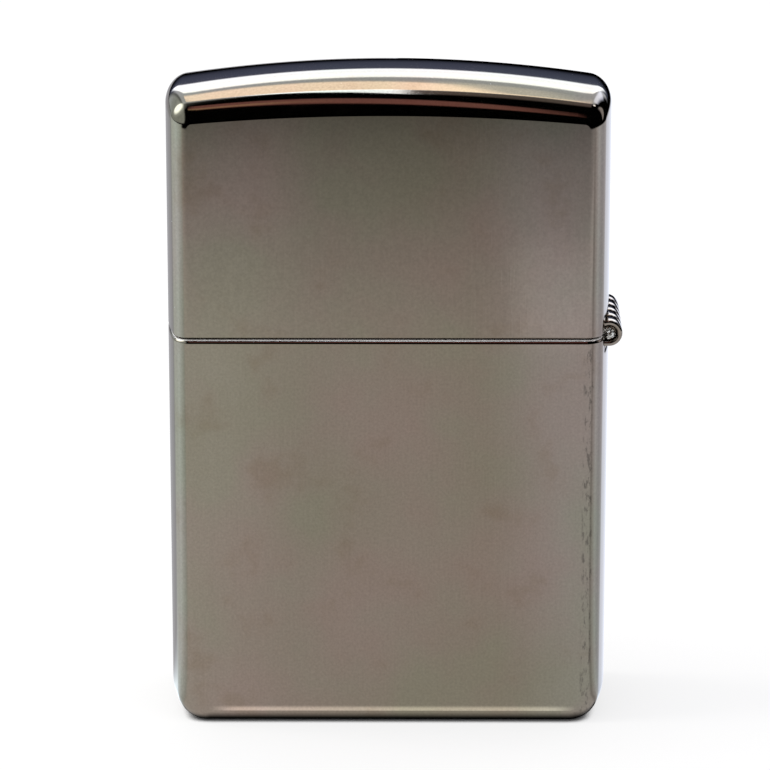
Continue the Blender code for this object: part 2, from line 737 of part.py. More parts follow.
def flint_screw(assembly):
    """Slotted screw that closes the flint tube and seats the spring on its peg."""
    shank = TUBE_BORE - SEAT
    head_top = SCREW_FOOT + SCREW_HEAD
    peg = SPRING_RADIUS - SPRING_WIRE
    profile = [
        (0, SCREW_TOP + SCREW_PEG),
        (peg, SCREW_TOP + SCREW_PEG),
        (peg, SCREW_TOP),
        (shank, SCREW_TOP),
        (shank, head_top),
        (SCREW_HEAD_RADIUS, head_top),
        (SCREW_HEAD_RADIUS, SCREW_FOOT),
        (0, SCREW_FOOT),
    ]
    bm = turned(profile, "Z", Vector((WHEEL_X, 0, 0)), ROUND_SEGMENTS)
    piece = add_piece(bm, "flint_screw", brass(), assembly, Vector((WHEEL_X, 0, SCREW_FOOT)))
    width, depth = SCREW_SLOT
    reach = SCREW_HEAD_RADIUS + OVERCUT
    slot = box(
        (WHEEL_X - reach, -width / 2, SCREW_FOOT - OVERCUT),
        (WHEEL_X + reach, width / 2, SCREW_FOOT + depth),
    )
    combine(piece, add_helper(slot, "screw_slot", assembly), "DIFFERENCE")
    return piece


# Cam


def cam_outline():
    """Side view of the cam about its rivet: two flats on the heel, a tapering arm, a round nose."""
    corner_angle = -math.pi / 2 + CAM_THROW / 2
    corner = CAM_FLAT / math.cos(CAM_THROW / 2)
    flat_end = 1.7 * MM
    heel = [
        (-1.2 * MM, -CAM_FLAT),
        (corner * math.cos(corner_angle), corner * math.sin(corner_angle)),
    ]
    heel.append(
        (
            heel[1][0] + flat_end * math.cos(CAM_THROW),
            heel[1][1] + flat_end * math.sin(CAM_THROW),
        )
    )
    knee = [(2.5 * MM, 0.1 * MM)]
    tip = (CAM_REACH * math.cos(CAM_ANGLE), CAM_REACH * math.sin(CAM_ANGLE))
    quarter = math.pi / 2
    nose = arc(tip, CAM_NOSE_RADIUS, CAM_ANGLE - quarter, CAM_ANGLE + quarter, 2 * CORNER_SEGMENTS)
    hub = arc((0, 0), CAM_HUB_RADIUS, CAM_ANGLE + quarter, 1.1 * math.pi, CORNER_SEGMENTS)
    return heel + knee + nose + hub


def cam(assembly):
    """Over-centre lever that the lid pushes past the spring."""
    outline = [(CAM_X + x, CAM_Z + z) for x, z in cam_outline()]
    bm = prism(outline, "Y", -CAM_THICKNESS / 2, CAM_THICKNESS / 2)
    piece = add_piece(bm, "cam", stainless_steel(), assembly, CAM_AXIS)
    bore = CAM_RIVET_RADIUS + RUNNING
    hole = rod(bore, -CAM_THICKNESS, CAM_THICKNESS, "Y", CAM_AXIS, SMALL_ROUND_SEGMENTS)
    combine(piece, add_helper(hole, "cam_bore", assembly), "DIFFERENCE")
    return piece


def cam_spring(assembly):
    """Leaf spring: welded up the tank's side wall and bent in under the cam's heel."""
    half = CAM_SPRING_THICKNESS / 2
    wall_x = INSERT_WIDTH / 2 - INSERT_WALL - SEAT - half
    leaf_z = CAM_Z - CAM_FLAT - CAM_SPRING_GAP - half
    bend = (wall_x - CAM_SPRING_BEND, leaf_z - CAM_SPRING_BEND)
    path = [(wall_x, CAM_SPRING_FOOT)]
    path += arc(bend, CAM_SPRING_BEND, 0, math.pi / 2, CORNER_SEGMENTS)
    path.append((CAM_X - CAM_HUB_RADIUS, leaf_z))
    outline = ribbon([Vector(point) for point in path], CAM_SPRING_THICKNESS)
    bm = prism(outline, "Y", -CAM_SPRING_WIDTH / 2, CAM_SPRING_WIDTH / 2)
    return add_piece(bm, "cam_spring", spring_steel(), assembly)


# Fuel


def wick_path():
    """The wick's centreline: straight up the flue, then swaying down through the wadding."""
    path = []
    for i in range(WICK_POINTS + 1):
        height = WICK_TOP + (WICK_FOOT - WICK_TOP) * i / WICK_POINTS
        depth = max(0.0, (WADDING_TOP - height) / (WADDING_TOP - WICK_FOOT))
        sway = WICK_SWAY * min(1.0, 2 * depth) * math.sin(2 * math.pi * depth)
        path.append(Vector((WICK_X + sway, 0, height)))
    return path


def wick(assembly):
    bm = swept(wick_path(), WICK_RADIUS, HOLE_SEGMENTS, Vector((0, 1, 0)))
    return add_piece(bm, "wick", wick_cotton(), assembly)


def wadding(assembly):
    """Rayon pads stacked in the tank, each pierced by the wick."""
    height = (WADDING_TOP - WADDING_FOOT) / WADDING_COUNT
    tunnel_path = wick_path()
    tunnel_path.append(tunnel_path[-1] + (tunnel_path[-1] - tunnel_path[-2]).normalized() * SEAT * 4)
    pads = []
    for index in range(WADDING_COUNT):
        low = WADDING_FOOT + index * height + SEAT
        bm = box(
            (WADDING_SPAN[0], -WADDING_DEPTH / 2, low),
            (WADDING_SPAN[1], WADDING_DEPTH / 2, low + height - 2 * SEAT),
        )
        round_edges(bm, list(bm.edges), 0.4 * height, 3)
        piece = add_piece(bm, f"wadding_{index + 1}", rayon(), assembly)
        tunnel = swept(tunnel_path, WICK_RADIUS + 3 * SEAT, HOLE_SEGMENTS, Vector((0, 1, 0)))
        combine(piece, add_helper(tunnel, f"wick_tunnel_{index + 1}", assembly), "DIFFERENCE")
        pads.append(piece)
    return pads


def felt_pad(assembly):
    """Felt that closes the bottom of the tank round the flint screw."""
    gap = INSERT_WALL + 2 * SEAT
    radius = INSERT_CORNER - gap
    outline = rounded_rectangle(
        INSERT_WIDTH / 2 - gap, INSERT_DEPTH / 2 - gap, radius, CORNER_SEGMENTS
    )
    foot = INSERT_FOOT + 6 * SEAT
    bm = prism(outline, "Z", foot, foot + FELT_THICKNESS)
    piece = add_piece(bm, "felt_pad", grey_felt(), assembly)
    radius = SCREW_HEAD_RADIUS + 4 * SEAT
    hole = rod(radius, 0, INSERT_TOP, "Z", Vector((WHEEL_X, 0, 0)), ROUND_SEGMENTS)
    combine(piece, add_helper(hole, "screw_hole", assembly), "DIFFERENCE")
    return piece


def settle(assembly):
    """Applies every cut and join, drops the helper shapes and shades the round faces smooth."""
    bpy.context.view_layer.update()
    depsgraph = bpy.context.evaluated_depsgraph_get()
    pieces = [obj for obj in assembly.children if not obj.hide_render]
    helpers = [obj for obj in assembly.children if obj.hide_render]
    shaped = {obj: bpy.data.meshes.new_from_object(obj.evaluated_get(depsgraph)) for obj in pieces}
    for obj, mesh in shaped.items():
        obj.modifiers.clear()
        obj.data = mesh
        mesh.shade_smooth()
        mesh.set_sharp_from_angle(angle=math.radians(35))
    for obj in helpers:
        bpy.data.objects.remove(obj, do_unlink=True)


def build():
    clear_scene()
    assembly = bpy.data.objects.new("lighter", None)
    assembly.location = (-HINGE_REACH / 2, 0, 0)
    bpy.context.scene.collection.objects.link(assembly)
    bottom_case(assembly)
    lid(assembly)
    hinge_leaf(assembly, "hinge_lower_leaf", (0, 2, 4), -1, Vector())
    hinge_leaf(assembly, "hinge_upper_leaf", (1, 3), 1, HINGE_AXIS)
    hinge_pin(assembly)
    insert_shell(assembly)
    chimney(assembly)
    wheel_span = CHIMNEY_WIDTH / 2 + SEAT
    rivet(assembly, "wheel_rivet", WHEEL_RIVET_RADIUS, 1.5 * MM, wheel_span, WHEEL_AXIS)
    cam_span = CAM_EAR_INNER + SHEET + SEAT
    rivet(assembly, "cam_rivet", CAM_RIVET_RADIUS, 1.1 * MM, cam_span, CAM_AXIS)
    flint_wheel(assembly)
    flint_tube(assembly)
    flint(assembly)
    flint_plunger(assembly)
    flint_spring(assembly)
    flint_screw(assembly)
    cam(assembly)
    cam_spring(assembly)
    wick(assembly)
    wadding(assembly)
    felt_pad(assembly)
    settle(assembly)


build()
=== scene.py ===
import json
import math

import bmesh
import bpy
from mathutils import Matrix, Vector


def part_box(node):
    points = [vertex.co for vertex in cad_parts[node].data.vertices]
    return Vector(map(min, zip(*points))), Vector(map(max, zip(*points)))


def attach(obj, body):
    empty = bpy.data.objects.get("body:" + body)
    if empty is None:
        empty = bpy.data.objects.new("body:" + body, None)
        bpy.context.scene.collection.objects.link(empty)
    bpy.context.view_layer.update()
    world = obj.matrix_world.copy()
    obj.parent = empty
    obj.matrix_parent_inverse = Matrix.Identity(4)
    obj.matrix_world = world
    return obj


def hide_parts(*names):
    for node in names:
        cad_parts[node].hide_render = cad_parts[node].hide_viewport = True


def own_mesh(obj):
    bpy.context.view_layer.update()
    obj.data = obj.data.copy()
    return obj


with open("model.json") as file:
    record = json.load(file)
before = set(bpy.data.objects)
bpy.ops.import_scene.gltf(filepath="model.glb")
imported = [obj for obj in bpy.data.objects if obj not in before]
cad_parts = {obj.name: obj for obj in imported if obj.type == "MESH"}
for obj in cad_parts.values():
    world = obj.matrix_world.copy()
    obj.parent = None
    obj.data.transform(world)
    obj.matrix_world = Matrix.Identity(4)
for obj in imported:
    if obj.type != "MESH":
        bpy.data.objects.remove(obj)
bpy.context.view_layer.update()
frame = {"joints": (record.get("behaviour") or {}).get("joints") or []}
MM = 0.001

# Camera. A long lens stands well back and a little above, square to the broad front face, and
# frames the whole lighter with its hinge at the right.
PICTURE_SIDE = 770
FOCAL_LENGTH_IN_PIXELS = 4791
CAMERA_AT = (0.80 * MM, -395.9 * MM, 153.0 * MM)
CAMERA_DIP = math.radians(17.41)
CAMERA_TURN = math.radians(0.235)
camera = bpy.data.objects.new("camera", bpy.data.cameras.new("camera"))
camera.data.sensor_width = 36
camera.data.lens = camera.data.sensor_width * FOCAL_LENGTH_IN_PIXELS / PICTURE_SIDE
camera.data.clip_start = 0.01
camera.location = CAMERA_AT
camera.rotation_euler = (math.pi / 2 - CAMERA_DIP, 0, CAMERA_TURN)
bpy.context.scene.collection.objects.link(camera)
bpy.context.scene.camera = camera
bpy.context.scene.view_settings.view_transform = "Standard"

# Studio floor. A pale matt table top that runs out of the picture on every side and keeps a thin
# shadow where the base stands. Polished metal sees it lit unevenly: brightest to the left, with a
# glint along the foot and a pale card ahead at the right, and fading out far ahead. The lights are
# given by distance in millimetres, or to the two sides by the turn from straight ahead in degrees.
FLOOR_REACH = 300 * MM
FLOOR_AHEAD = ((50, 0.95), (120, 0.93), (200, 0.5), (260, 0.0))
FLOOR_ACROSS = (
    (-20, (1.2, 1.2, 1.25)),
    (-10, (1.0, 1.0, 1.0)),
    (10, (0.95, 0.93, 0.92)),
    (17, (1.1, 1.15, 1.25)),
)
FLOOR_LEFT = (
    (40, (0.95, 1.05, 1.1)),
    (80, (1.6, 1.85, 2.1)),
    (115, (1.35, 1.5, 1.6)),
    (145, (0.5, 0.5, 0.53)),
)
FLOOR_RIGHT = (
    (38, (0.45, 0.45, 0.47)),
    (55, (0.95, 1.0, 1.1)),
    (72, (1.2, 1.35, 1.55)),
    (95, (0.95, 1.05, 1.25)),
    (140, (1.05, 1.1, 1.25)),
)
FLOOR_TURN = (33, 47)
FRONT_HALF = 16 * MM
CORNER_REACH = 4 * MM
CORNER_LEAD = 0.7
FOOT_SHADE = (5.5, 7.8)
FOOT_GLINT = ((8.3, 9.3), (10.7, 9.8))
GLINT_ENDS = (16.5, 13.5)
GLINT_TONE = 2.3
CARD_SIDE = (12, 15)
CARD_EDGES = ((117, 121), (168, 150))
CARD_TONE = 1.16
CONTACT_REACH = 0.8 * MM
CONTACT_SHADE = ((0.25, 0.02), (0.5, 0.7), (0.7, 1.0))
EVEN_SHARE = 0.7
FLOOR_SIZE = 2.0


def wire(tree, *links):
    """Joins node sockets, each pair given as (from, to)."""
    for source, target in links:
        tree.links.new(source, target)


def calculate(tree, operation, first, second=0.0, clamp=False):
    """Adds a Math node on two sockets or numbers and gives its result."""
    node = tree.nodes.new("ShaderNodeMath")
    node.operation = operation
    node.use_clamp = clamp
    for socket, value in zip(node.inputs, (first, second)):
        if isinstance(value, (int, float)):
            socket.default_value = value
        else:
            tree.links.new(value, socket)
    return node.outputs[0]


def graded(tree, factor, *stops):
    """Adds a colour ramp on a socket, with stops of (place, colour), and gives its colour."""
    node = tree.nodes.new("ShaderNodeValToRGB")
    ramp = node.color_ramp
    while len(ramp.elements) < len(stops):
        ramp.elements.new(1.0)
    for element, (place, colour) in zip(ramp.elements, stops):
        element.position = place
        element.color = (*colour, 1) if isinstance(colour, tuple) else (colour, colour, colour, 1)
    tree.links.new(factor, node.inputs["Fac"])
    return node.outputs["Color"]


def blended(tree, factor, first, second, kind="MIX"):
    """Mixes two colours, each a socket or a colour, by a socket or a number."""
    node = tree.nodes.new("ShaderNodeMix")
    node.data_type = "RGBA"
    node.blend_type = kind
    for name, value in (("Factor", factor), ("A", first), ("B", second)):
        if isinstance(value, tuple):
            node.inputs[name].default_value = (*value, 1)
        elif isinstance(value, float):
            node.inputs[name].default_value = value
        else:
            wire(tree, (value, node.inputs[name]))
    return node.outputs["Result"]


def rising(tree, value, start, end):
    """A smooth step from 0 at start to 1 at end, or falling where end comes first."""
    node = tree.nodes.new("ShaderNodeMapRange")
    node.interpolation_type = "SMOOTHSTEP"
    node.inputs["From Min"].default_value = min(start, end)
    node.inputs["From Max"].default_value = max(start, end)
    node.inputs["To Min"].default_value = float(start > end)
    node.inputs["To Max"].default_value = float(start < end)
    tree.links.new(value, node.inputs["Value"])
    return node.outputs["Result"]


def within(tree, unit, *edges):
    """1 for what is past every edge, given as (place, (start, end)) in some unit, and 0 elsewhere."""
    level = 1.0
    for place, (start, end) in edges:
        level = calculate(tree, "MULTIPLY", rising(tree, place, start * unit, end * unit), level)
    return level


def raised(tree, tone, *edges):
    """A level of light that is 1, and the tone given within some edges."""
    level = calculate(tree, "MULTIPLY", within(tree, MM, *edges), tone - 1)
    return calculate(tree, "ADD", level, 1.0)


def floor_in_mirror(tree, across, along):
    """The floor's colour as polished metal sees it: one light ahead and others to the two sides."""
    ahead = calculate(tree, "MULTIPLY", along, -1.0)
    spread = calculate(tree, "ABSOLUTE", across)
    beyond = calculate(tree, "MAXIMUM", calculate(tree, "SUBTRACT", spread, FRONT_HALF), 0.0)
    lead = calculate(tree, "MULTIPLY", calculate(tree, "MINIMUM", beyond, CORNER_REACH), CORNER_LEAD)
    lead = calculate(tree, "ADD", ahead, lead)
    share = calculate(tree, "DIVIDE", lead, FLOOR_REACH, clamp=True)
    front = graded(tree, share, *((far * MM / FLOOR_REACH, tone) for far, tone in FLOOR_AHEAD))
    share = calculate(tree, "ADD", calculate(tree, "DIVIDE", across, 2 * FLOOR_REACH), 0.5)
    stops = ((0.5 + aside * MM / (2 * FLOOR_REACH), tone) for aside, tone in FLOOR_ACROSS)
    for light in (
        graded(tree, share, *stops),
        within(tree, MM, (lead, FOOT_SHADE)),
        raised(tree, CARD_TONE, (across, CARD_SIDE), *((ahead, edge) for edge in CARD_EDGES)),
        raised(tree, GLINT_TONE, (spread, GLINT_ENDS), *((lead, edge) for edge in FOOT_GLINT)),
    ):
        front = blended(tree, 1.0, front, light, "MULTIPLY")
    turn = calculate(tree, "DIVIDE", calculate(tree, "ARCTAN2", beyond, ahead), math.pi)
    left, right = (
        graded(tree, turn, *((angle / 180, tone) for angle, tone in lights))
        for lights in (FLOOR_LEFT, FLOOR_RIGHT)
    )
    side = blended(tree, rising(tree, across, -5 * MM, 5 * MM), left, right)
    return blended(tree, within(tree, 1 / 180, (turn, FLOOR_TURN)), front, side)


def table_top():
    """Matt white; a mirror ray sees the floor's own lights, out to its reach at the right."""
    material = bpy.data.materials.new("table_top")
    material.use_nodes = True
    tree = material.node_tree
    tree.nodes.clear()
    place = tree.nodes.new("ShaderNodeSeparateXYZ")
    wire(tree, (tree.nodes.new("ShaderNodeTexCoord").outputs["Object"], place.inputs[0]))
    across, along = place.outputs["X"], place.outputs["Y"]
    reach = calculate(tree, "POWER", across, 2.0)
    reach = calculate(tree, "ADD", reach, calculate(tree, "POWER", along, 2.0))
    reach = calculate(tree, "MULTIPLY", calculate(tree, "SQRT", reach), rising(tree, across, -MM, MM))
    edge = rising(tree, reach, 1.2 * FLOOR_REACH, 0.8 * FLOOR_REACH)
    contact = tree.nodes.new("ShaderNodeAmbientOcclusion")
    contact.samples = 8
    contact.inputs["Distance"].default_value = CONTACT_REACH
    shadow = graded(tree, contact.outputs["AO"], *CONTACT_SHADE)
    rays = tree.nodes.new("ShaderNodeLightPath").outputs
    seen = calculate(tree, "ADD", rays["Is Camera Ray"], rays["Is Transmission Ray"])
    strength = calculate(tree, "MULTIPLY", edge, rays["Is Glossy Ray"])
    strength = calculate(tree, "MULTIPLY", calculate(tree, "ADD", seen, strength), shadow)
    direct = calculate(tree, "MULTIPLY", seen, EVEN_SHARE)
    direct = calculate(tree, "ADD", direct, rays["Is Glossy Ray"], clamp=True)
    mirrored = floor_in_mirror(tree, across, along)
    matt = tree.nodes.new("ShaderNodeBsdfDiffuse")
    matt.inputs["Color"].default_value = (0.97, 0.97, 0.97, 1)
    glow = tree.nodes.new("ShaderNodeEmission")
    blend = tree.nodes.new("ShaderNodeMixShader")
    output = tree.nodes.new("ShaderNodeOutputMaterial")
    wire(
        tree,
        (blended(tree, rays["Is Glossy Ray"], (1, 1, 1), mirrored), glow.inputs["Color"]),
        (strength, glow.inputs["Strength"]),
        (direct, blend.inputs["Fac"]),
        (matt.outputs[0], blend.inputs[1]),
        (glow.outputs[0], blend.inputs[2]),
        (blend.outputs[0], output.inputs["Surface"]),
    )
    return material


bm = bmesh.new()
bmesh.ops.create_grid(bm, x_segments=1, y_segments=1, size=FLOOR_SIZE)
floor = bpy.data.objects.new("floor", bpy.data.meshes.new("floor"))
bm.to_mesh(floor.data)
bm.free()
floor.data.materials.append(table_top())
bpy.context.scene.collection.objects.link(floor)

# Studio light. An even white dome and a soft box at the left light everything. What polished metal
# mirrors above the floor is a dark room with strip lights, round lamps, a warm ceiling and a window.
DOME_COLOUR = (0.95, 0.95, 0.98)
SOFT_BOX_AT = (-0.45, 0.0, 0.5)
SOFT_BOX_SIZE = 0.3
SOFT_BOX_POWER = 1.7
SOFT_BOX_COLOUR = (1.0, 0.97, 0.9)
STRIP_LIGHTS = (
    ("back_wall", (150, 10, 0, 100), (169, 12, 0, 60), (-0.4, 0.1), (0.45, 0.1), (0.13, 0.15, 0.24)),
    ("back_strip", (137, 4, 0, 200), (160, 3, 0, 100), (-0.36, 0.08), (0.36, 0.12), (2.9, 3.1, 3.4)),
    ("ceiling", (103, 16, 0, 0), (150, 10, 0, 100), (-0.4, 0.1), (0.5, 0.1), (1.15, 1.25, 1.45)),
    ("warm_ceiling", (109, 5, -30, 0), (123, 8, -65, 0), (-0.21, 0.06), (0.17, 0.2), (2.5, 1.87, 1.37)),
    ("soft_ceiling", (104, 8, 0, 0), (127, 10, 0, 0), (0.02, 0.1), (0.32, 0.16), (0.75, 0.65, 0.5)),
    ("lamp_rail", (78, 12, 0, 0), (104, 8, 0, 0), (0.0, 0.04), (0.32, 0.1), (0.3, 0.25, 0.26)),
    ("tube", (78, 3, -230, 0), (110, 2, -20, 0), (-0.16, 0.03), (0.014, 0.02), (4.0, 4.7, 5.8)),
    ("curtain", (39, 5, -110, 0), (55, 5, -110, 0), (-0.19, 0.04), (0.1, 0.08), (0.54, 0.23, 0.22)),
    ("curtain_glow", (46, 4, -60, 0), (52, 4, -60, 0), (-0.2, 0.04), (-0.08, 0.1), (0.35, 0.28, 0.15)),
    ("left_wall", (4, 8, 0, 0), (184, 6, 0, 0), (-1.3, 0.1), (-0.45, 0.14), (0.75, 0.82, 0.86)),
    ("right_wall", (95, 30, 0, 0), (150, 20, 0, 0), (0.74, 0.1), (1.3, 0.1), (0.8, 0.8, 0.86)),
    ("right_window", (126, 14, 0, 0), (160, 8, 0, 0), (0.33, 0.1), (0.56, 0.1), (1.5, 1.7, 2.3)),
)
ROUND_LAMPS = (
    ("left_lamp", (-0.75, 0.12, 0.65), 20, 16, (3.8, 4.1, 4.4)),
    ("left_glow", (-0.72, 0.08, 0.69), 24, 30, (0.8, 0.87, 0.95)),
    ("right_lamp", (0.49, 0.1, 0.87), 5, 3, (3.6, 3.8, 4.2)),
)
world = bpy.data.worlds.new("studio")
world.use_nodes = True
bpy.context.scene.world = world
tree = world.node_tree
tree.nodes.clear()
sky = tree.nodes.new("ShaderNodeTexCoord").outputs["Generated"]
direction = tree.nodes.new("ShaderNodeSeparateXYZ")
wire(tree, (sky, direction.inputs[0]))
sideways = direction.outputs["X"]
ahead = calculate(tree, "MULTIPLY", direction.outputs["Y"], -1.0)
overhead = calculate(tree, "ARCTAN2", direction.outputs["Z"], ahead)
overhead = calculate(tree, "MULTIPLY", overhead, 180 / math.pi)
rays = tree.nodes.new("ShaderNodeLightPath").outputs
lit = tree.nodes.new("ShaderNodeBackground")
lit.inputs["Color"].default_value = (*DOME_COLOUR, 1)
wire(tree, (calculate(tree, "SUBTRACT", 1.0, rays["Is Glossy Ray"]), lit.inputs["Strength"]))


def with_lamp(lit, name, strength, colour):
    """Adds one lamp, which only mirror rays see, to what the sky gives so far."""
    lamp = tree.nodes.new("ShaderNodeBackground")
    lamp.name = name
    lamp.inputs["Color"].default_value = (*colour, 1)
    both = tree.nodes.new("ShaderNodeAddShader")
    strength = calculate(tree, "MULTIPLY", strength, rays["Is Glossy Ray"])
    wire(tree, (strength, lamp.inputs["Strength"]))
    wire(tree, (lit.outputs[0], both.inputs[0]), (lamp.outputs[0], both.inputs[1]))
    return both


def strip_light(low, high, left, right):
    """The share of a strip light in each direction, between a low and a high edge, each given as (angle
    from the front horizon over the top, softness, tilt, bow), and a left and a right end, each given
    as (share of the width, softness)."""
    edges = []
    for (angle, soft, tilt, bow), inward in ((low, 0.5), (high, -0.5)):
        lean = calculate(tree, "ADD", calculate(tree, "MULTIPLY", sideways, bow), tilt)
        level = calculate(tree, "SUBTRACT", overhead, calculate(tree, "MULTIPLY", lean, sideways))
        edges.append((level, (angle - inward * soft, angle + inward * soft)))
    for (end, soft), inward in ((left, 0.5), (right, -0.5)):
        edges.append((sideways, (end - inward * soft, end + inward * soft)))
    return within(tree, 1, *edges)


def round_lamp(way, angle, soft):
    """The share of a round lamp in each direction, from the way to it, its half angle and softness."""
    toward = tree.nodes.new("ShaderNodeVectorMath")
    toward.operation = "DOT_PRODUCT"
    toward.inputs[1].default_value = Vector(way).normalized()
    wire(tree, (sky, toward.inputs[0]))
    inside, outside = (math.cos(math.radians(angle + side * soft / 2)) for side in (-1, 1))
    return rising(tree, toward.outputs["Value"], outside, inside)


for shape, lamps in ((strip_light, STRIP_LIGHTS), (round_lamp, ROUND_LAMPS)):
    for name, *form, colour in lamps:
        lit = with_lamp(lit, name, shape(*form), colour)
output = tree.nodes.new("ShaderNodeOutputWorld")
wire(tree, (lit.outputs[0], output.inputs["Surface"]))
soft_box = bpy.data.objects.new("soft_box", bpy.data.lights.new("soft_box", "AREA"))
soft_box.data.size = SOFT_BOX_SIZE
soft_box.data.energy = SOFT_BOX_POWER
soft_box.data.color = SOFT_BOX_COLOUR
soft_box.location = SOFT_BOX_AT
soft_box.rotation_euler = Vector(soft_box.location).to_track_quat("Z", "Y").to_euler()
soft_box.visible_glossy = False
bpy.context.scene.collection.objects.link(soft_box)

# Lower case. A deep-drawn brass cup with its edges rolled over and a shallow pan pressed into the
# base, polished and plated black; the insert drops in from above.
CASE_WALL = 0.7 * MM
RIM_ROUND = 0.33 * MM
RIM_LIFT = 0.1 * MM
BASE_CORNER = 2.6 * MM
EDGE_ROLL = 1.2 * MM
SIDE_BOW = 0.9 * MM
DEPTH_STEPS = 20
ROUND_STEPS = 14
BASE_RIM = 1.4 * MM
PAN_SLOPE = 0.45 * MM
PAN_DEPTH = 0.35 * MM
PAN_CORNER = 2.0 * MM
SLOT_HALF_LENGTH = 4.45 * MM
SLOT_REACH = 1.5 * MM
SCUFF_STRIP = ((16.0, 16.3), (17.1, 16.9))
SCUFF_TOP = (35, 34)
# The painted rim highlight: its band of heights and its right-hand end, in mm.
RIM_HIGHLIGHT_LINE = ((34.715, 34.745), (34.88, 34.84))
RIM_HIGHLIGHT_END = (18.3, 18.1)
DEPTHWISE = (0, 1, 0)
TINY = 0.001 * MM


def new_material(name, colour, metallic, roughness):
    """A Principled material; gives the material, its tree, its shader and Object coordinates."""
    material = bpy.data.materials.new(name)
    material.use_nodes = True
    tree = material.node_tree
    shader = tree.nodes["Principled BSDF"]
    shader.inputs["Base Color"].default_value = (*colour, 1)
    shader.inputs["Metallic"].default_value = metallic
    shader.inputs["Roughness"].default_value = roughness
    place = tree.nodes.new("ShaderNodeTexCoord").outputs["Object"]
    return material, tree, shader, place


def noise(tree, place, size, detail=2.0, roughness=0.5, stretch=None, turn=(0, 0, 0)):
    """Noise whose blotches are about size metres across, or drawn out into a grain by a stretch."""
    if stretch:
        grain = tree.nodes.new("ShaderNodeMapping")
        grain.inputs["Rotation"].default_value = turn
        grain.inputs["Scale"].default_value = stretch
        wire(tree, (place, grain.inputs["Vector"]))
        place = grain.outputs["Vector"]
    node = tree.nodes.new("ShaderNodeTexNoise")
    node.inputs["Scale"].default_value = 1 / size
    node.inputs["Detail"].default_value = detail
    node.inputs["Roughness"].default_value = roughness
    wire(tree, (place, node.inputs["Vector"]))
    return node.outputs["Fac"]


def add_bump(tree, shader, height, strength, depth):
    node = tree.nodes.new("ShaderNodeBump")
    node.inputs["Strength"].default_value = strength
    node.inputs["Distance"].default_value = depth
    wire(tree, (height, node.inputs["Height"]), (node.outputs["Normal"], shader.inputs["Normal"]))


def black_plating():
    """Mirror-polished black nickel: mottled, dusty, scuffed down one edge, with a highlight painted on
    the rim.
    """
    material, tree, shader, place = new_material("black_plating", (0.225, 0.19, 0.152), 1.0, 0.06)
    shift = noise(tree, place, 10 * MM, 3.0)
    tint = graded(
        tree,
        shift,
        (0.36, (0.241, 0.19, 0.158)),
        (0.5, (0.227, 0.191, 0.152)),
        (0.64, (0.212, 0.193, 0.143)),
    )
    stain = noise(tree, place, 5 * MM, 3.0, 0.6)
    tone = graded(
        tree,
        stain,
        (0.3, (0.91, 0.9, 0.85)),
        (0.42, (1.0, 1.0, 1.0)),
        (0.64, (1.03, 1.03, 1.05)),
    )
    tint = blended(tree, 1.0, tint, tone, "MULTIPLY")
    grain = noise(tree, place, 0.22 * MM, 2.0)
    tint = blended(tree, 1.0, tint, graded(tree, grain, (0.25, 0.91), (0.75, 1.08)), "MULTIPLY")
    turn = (0, math.radians(38), 0)
    hairline = noise(tree, place, 0.14 * MM, 2.0, stretch=(1, 1, 0.03), turn=turn)
    tint = blended(tree, 1.0, tint, graded(tree, hairline, (0.3, 0.98), (0.7, 1.015)), "MULTIPLY")
    smear = noise(tree, place, 4 * MM, 5.0, 0.65)
    matt = graded(tree, smear, (0.35, 0.045), (0.62, 0.06), (0.8, 0.12))
    spot = tree.nodes.new("ShaderNodeSeparateXYZ")
    wire(tree, (place, spot.inputs[0]))
    x, z = spot.outputs["X"], spot.outputs["Z"]
    rub = within(tree, MM, *((x, edge) for edge in SCUFF_STRIP), (z, SCUFF_TOP))
    scuff = noise(tree, place, 0.3 * MM, 4.0, 0.7, (1, 1, 0.3))
    rub = calculate(tree, "MULTIPLY", rub, rising(tree, scuff, 0.5, 0.64))
    tint = blended(tree, calculate(tree, "MULTIPLY", rub, 0.65), tint, (0.07, 0.06, 0.05))
    # Painted highlight: a pale, matt, partly non-metal line on the case rim just under the seam. It
    # makes a bright line along the seam that no light puts there.
    painted_rim_highlight = within(tree, MM, *((z, edge) for edge in RIM_HIGHLIGHT_LINE), (x, RIM_HIGHLIGHT_END))
    tint = blended(tree, painted_rim_highlight, tint, (0.8, 0.78, 0.75))
    matt = blended(tree, painted_rim_highlight, matt, (0.4, 0.4, 0.4))
    speck = tree.nodes.new("ShaderNodeTexVoronoi")
    speck.inputs["Scale"].default_value = 1 / (1.3 * MM)
    wire(tree, (place, speck.inputs["Vector"]))
    dust = rising(tree, speck.outputs["Distance"], 0.06, 0.03)
    dust = calculate(tree, "MULTIPLY", dust, rising(tree, speck.outputs["Color"], 0.62, 0.85))
    metal = calculate(tree, "SUBTRACT", 1.0, calculate(tree, "MULTIPLY", painted_rim_highlight, 0.6))
    wire(
        tree,
        (blended(tree, dust, tint, (0.8, 0.8, 0.82)), shader.inputs["Base Color"]),
        (blended(tree, dust, matt, (0.7, 0.7, 0.7)), shader.inputs["Roughness"]),
        (metal, shader.inputs["Metallic"]),
    )
    add_bump(tree, shader, graded(tree, hairline, (0.60, 0.0), (0.72, 1.0)), 0.03, 0.01 * MM)
    return material


def line_to(bm, vert, place):
    """Carries the end of an outline straight to a place."""
    end = bmesh.ops.extrude_vert_indiv(bm, verts=[vert])["verts"][0]
    end.co = place
    return end


def swing(bm, vert, centre, turn, steps, axis=DEPTHWISE):
    """Carries the end of an outline round an arc; about Y, a positive turn goes from right to down."""
    last = bmesh.ops.spin(bm, geom=[vert], cent=centre, axis=axis, angle=turn, steps=steps)
    return next(item for item in last["geom_last"] if isinstance(item, bmesh.types.BMVert))


def verts_of(items):
    return [item for item in items if isinstance(item, bmesh.types.BMVert)]


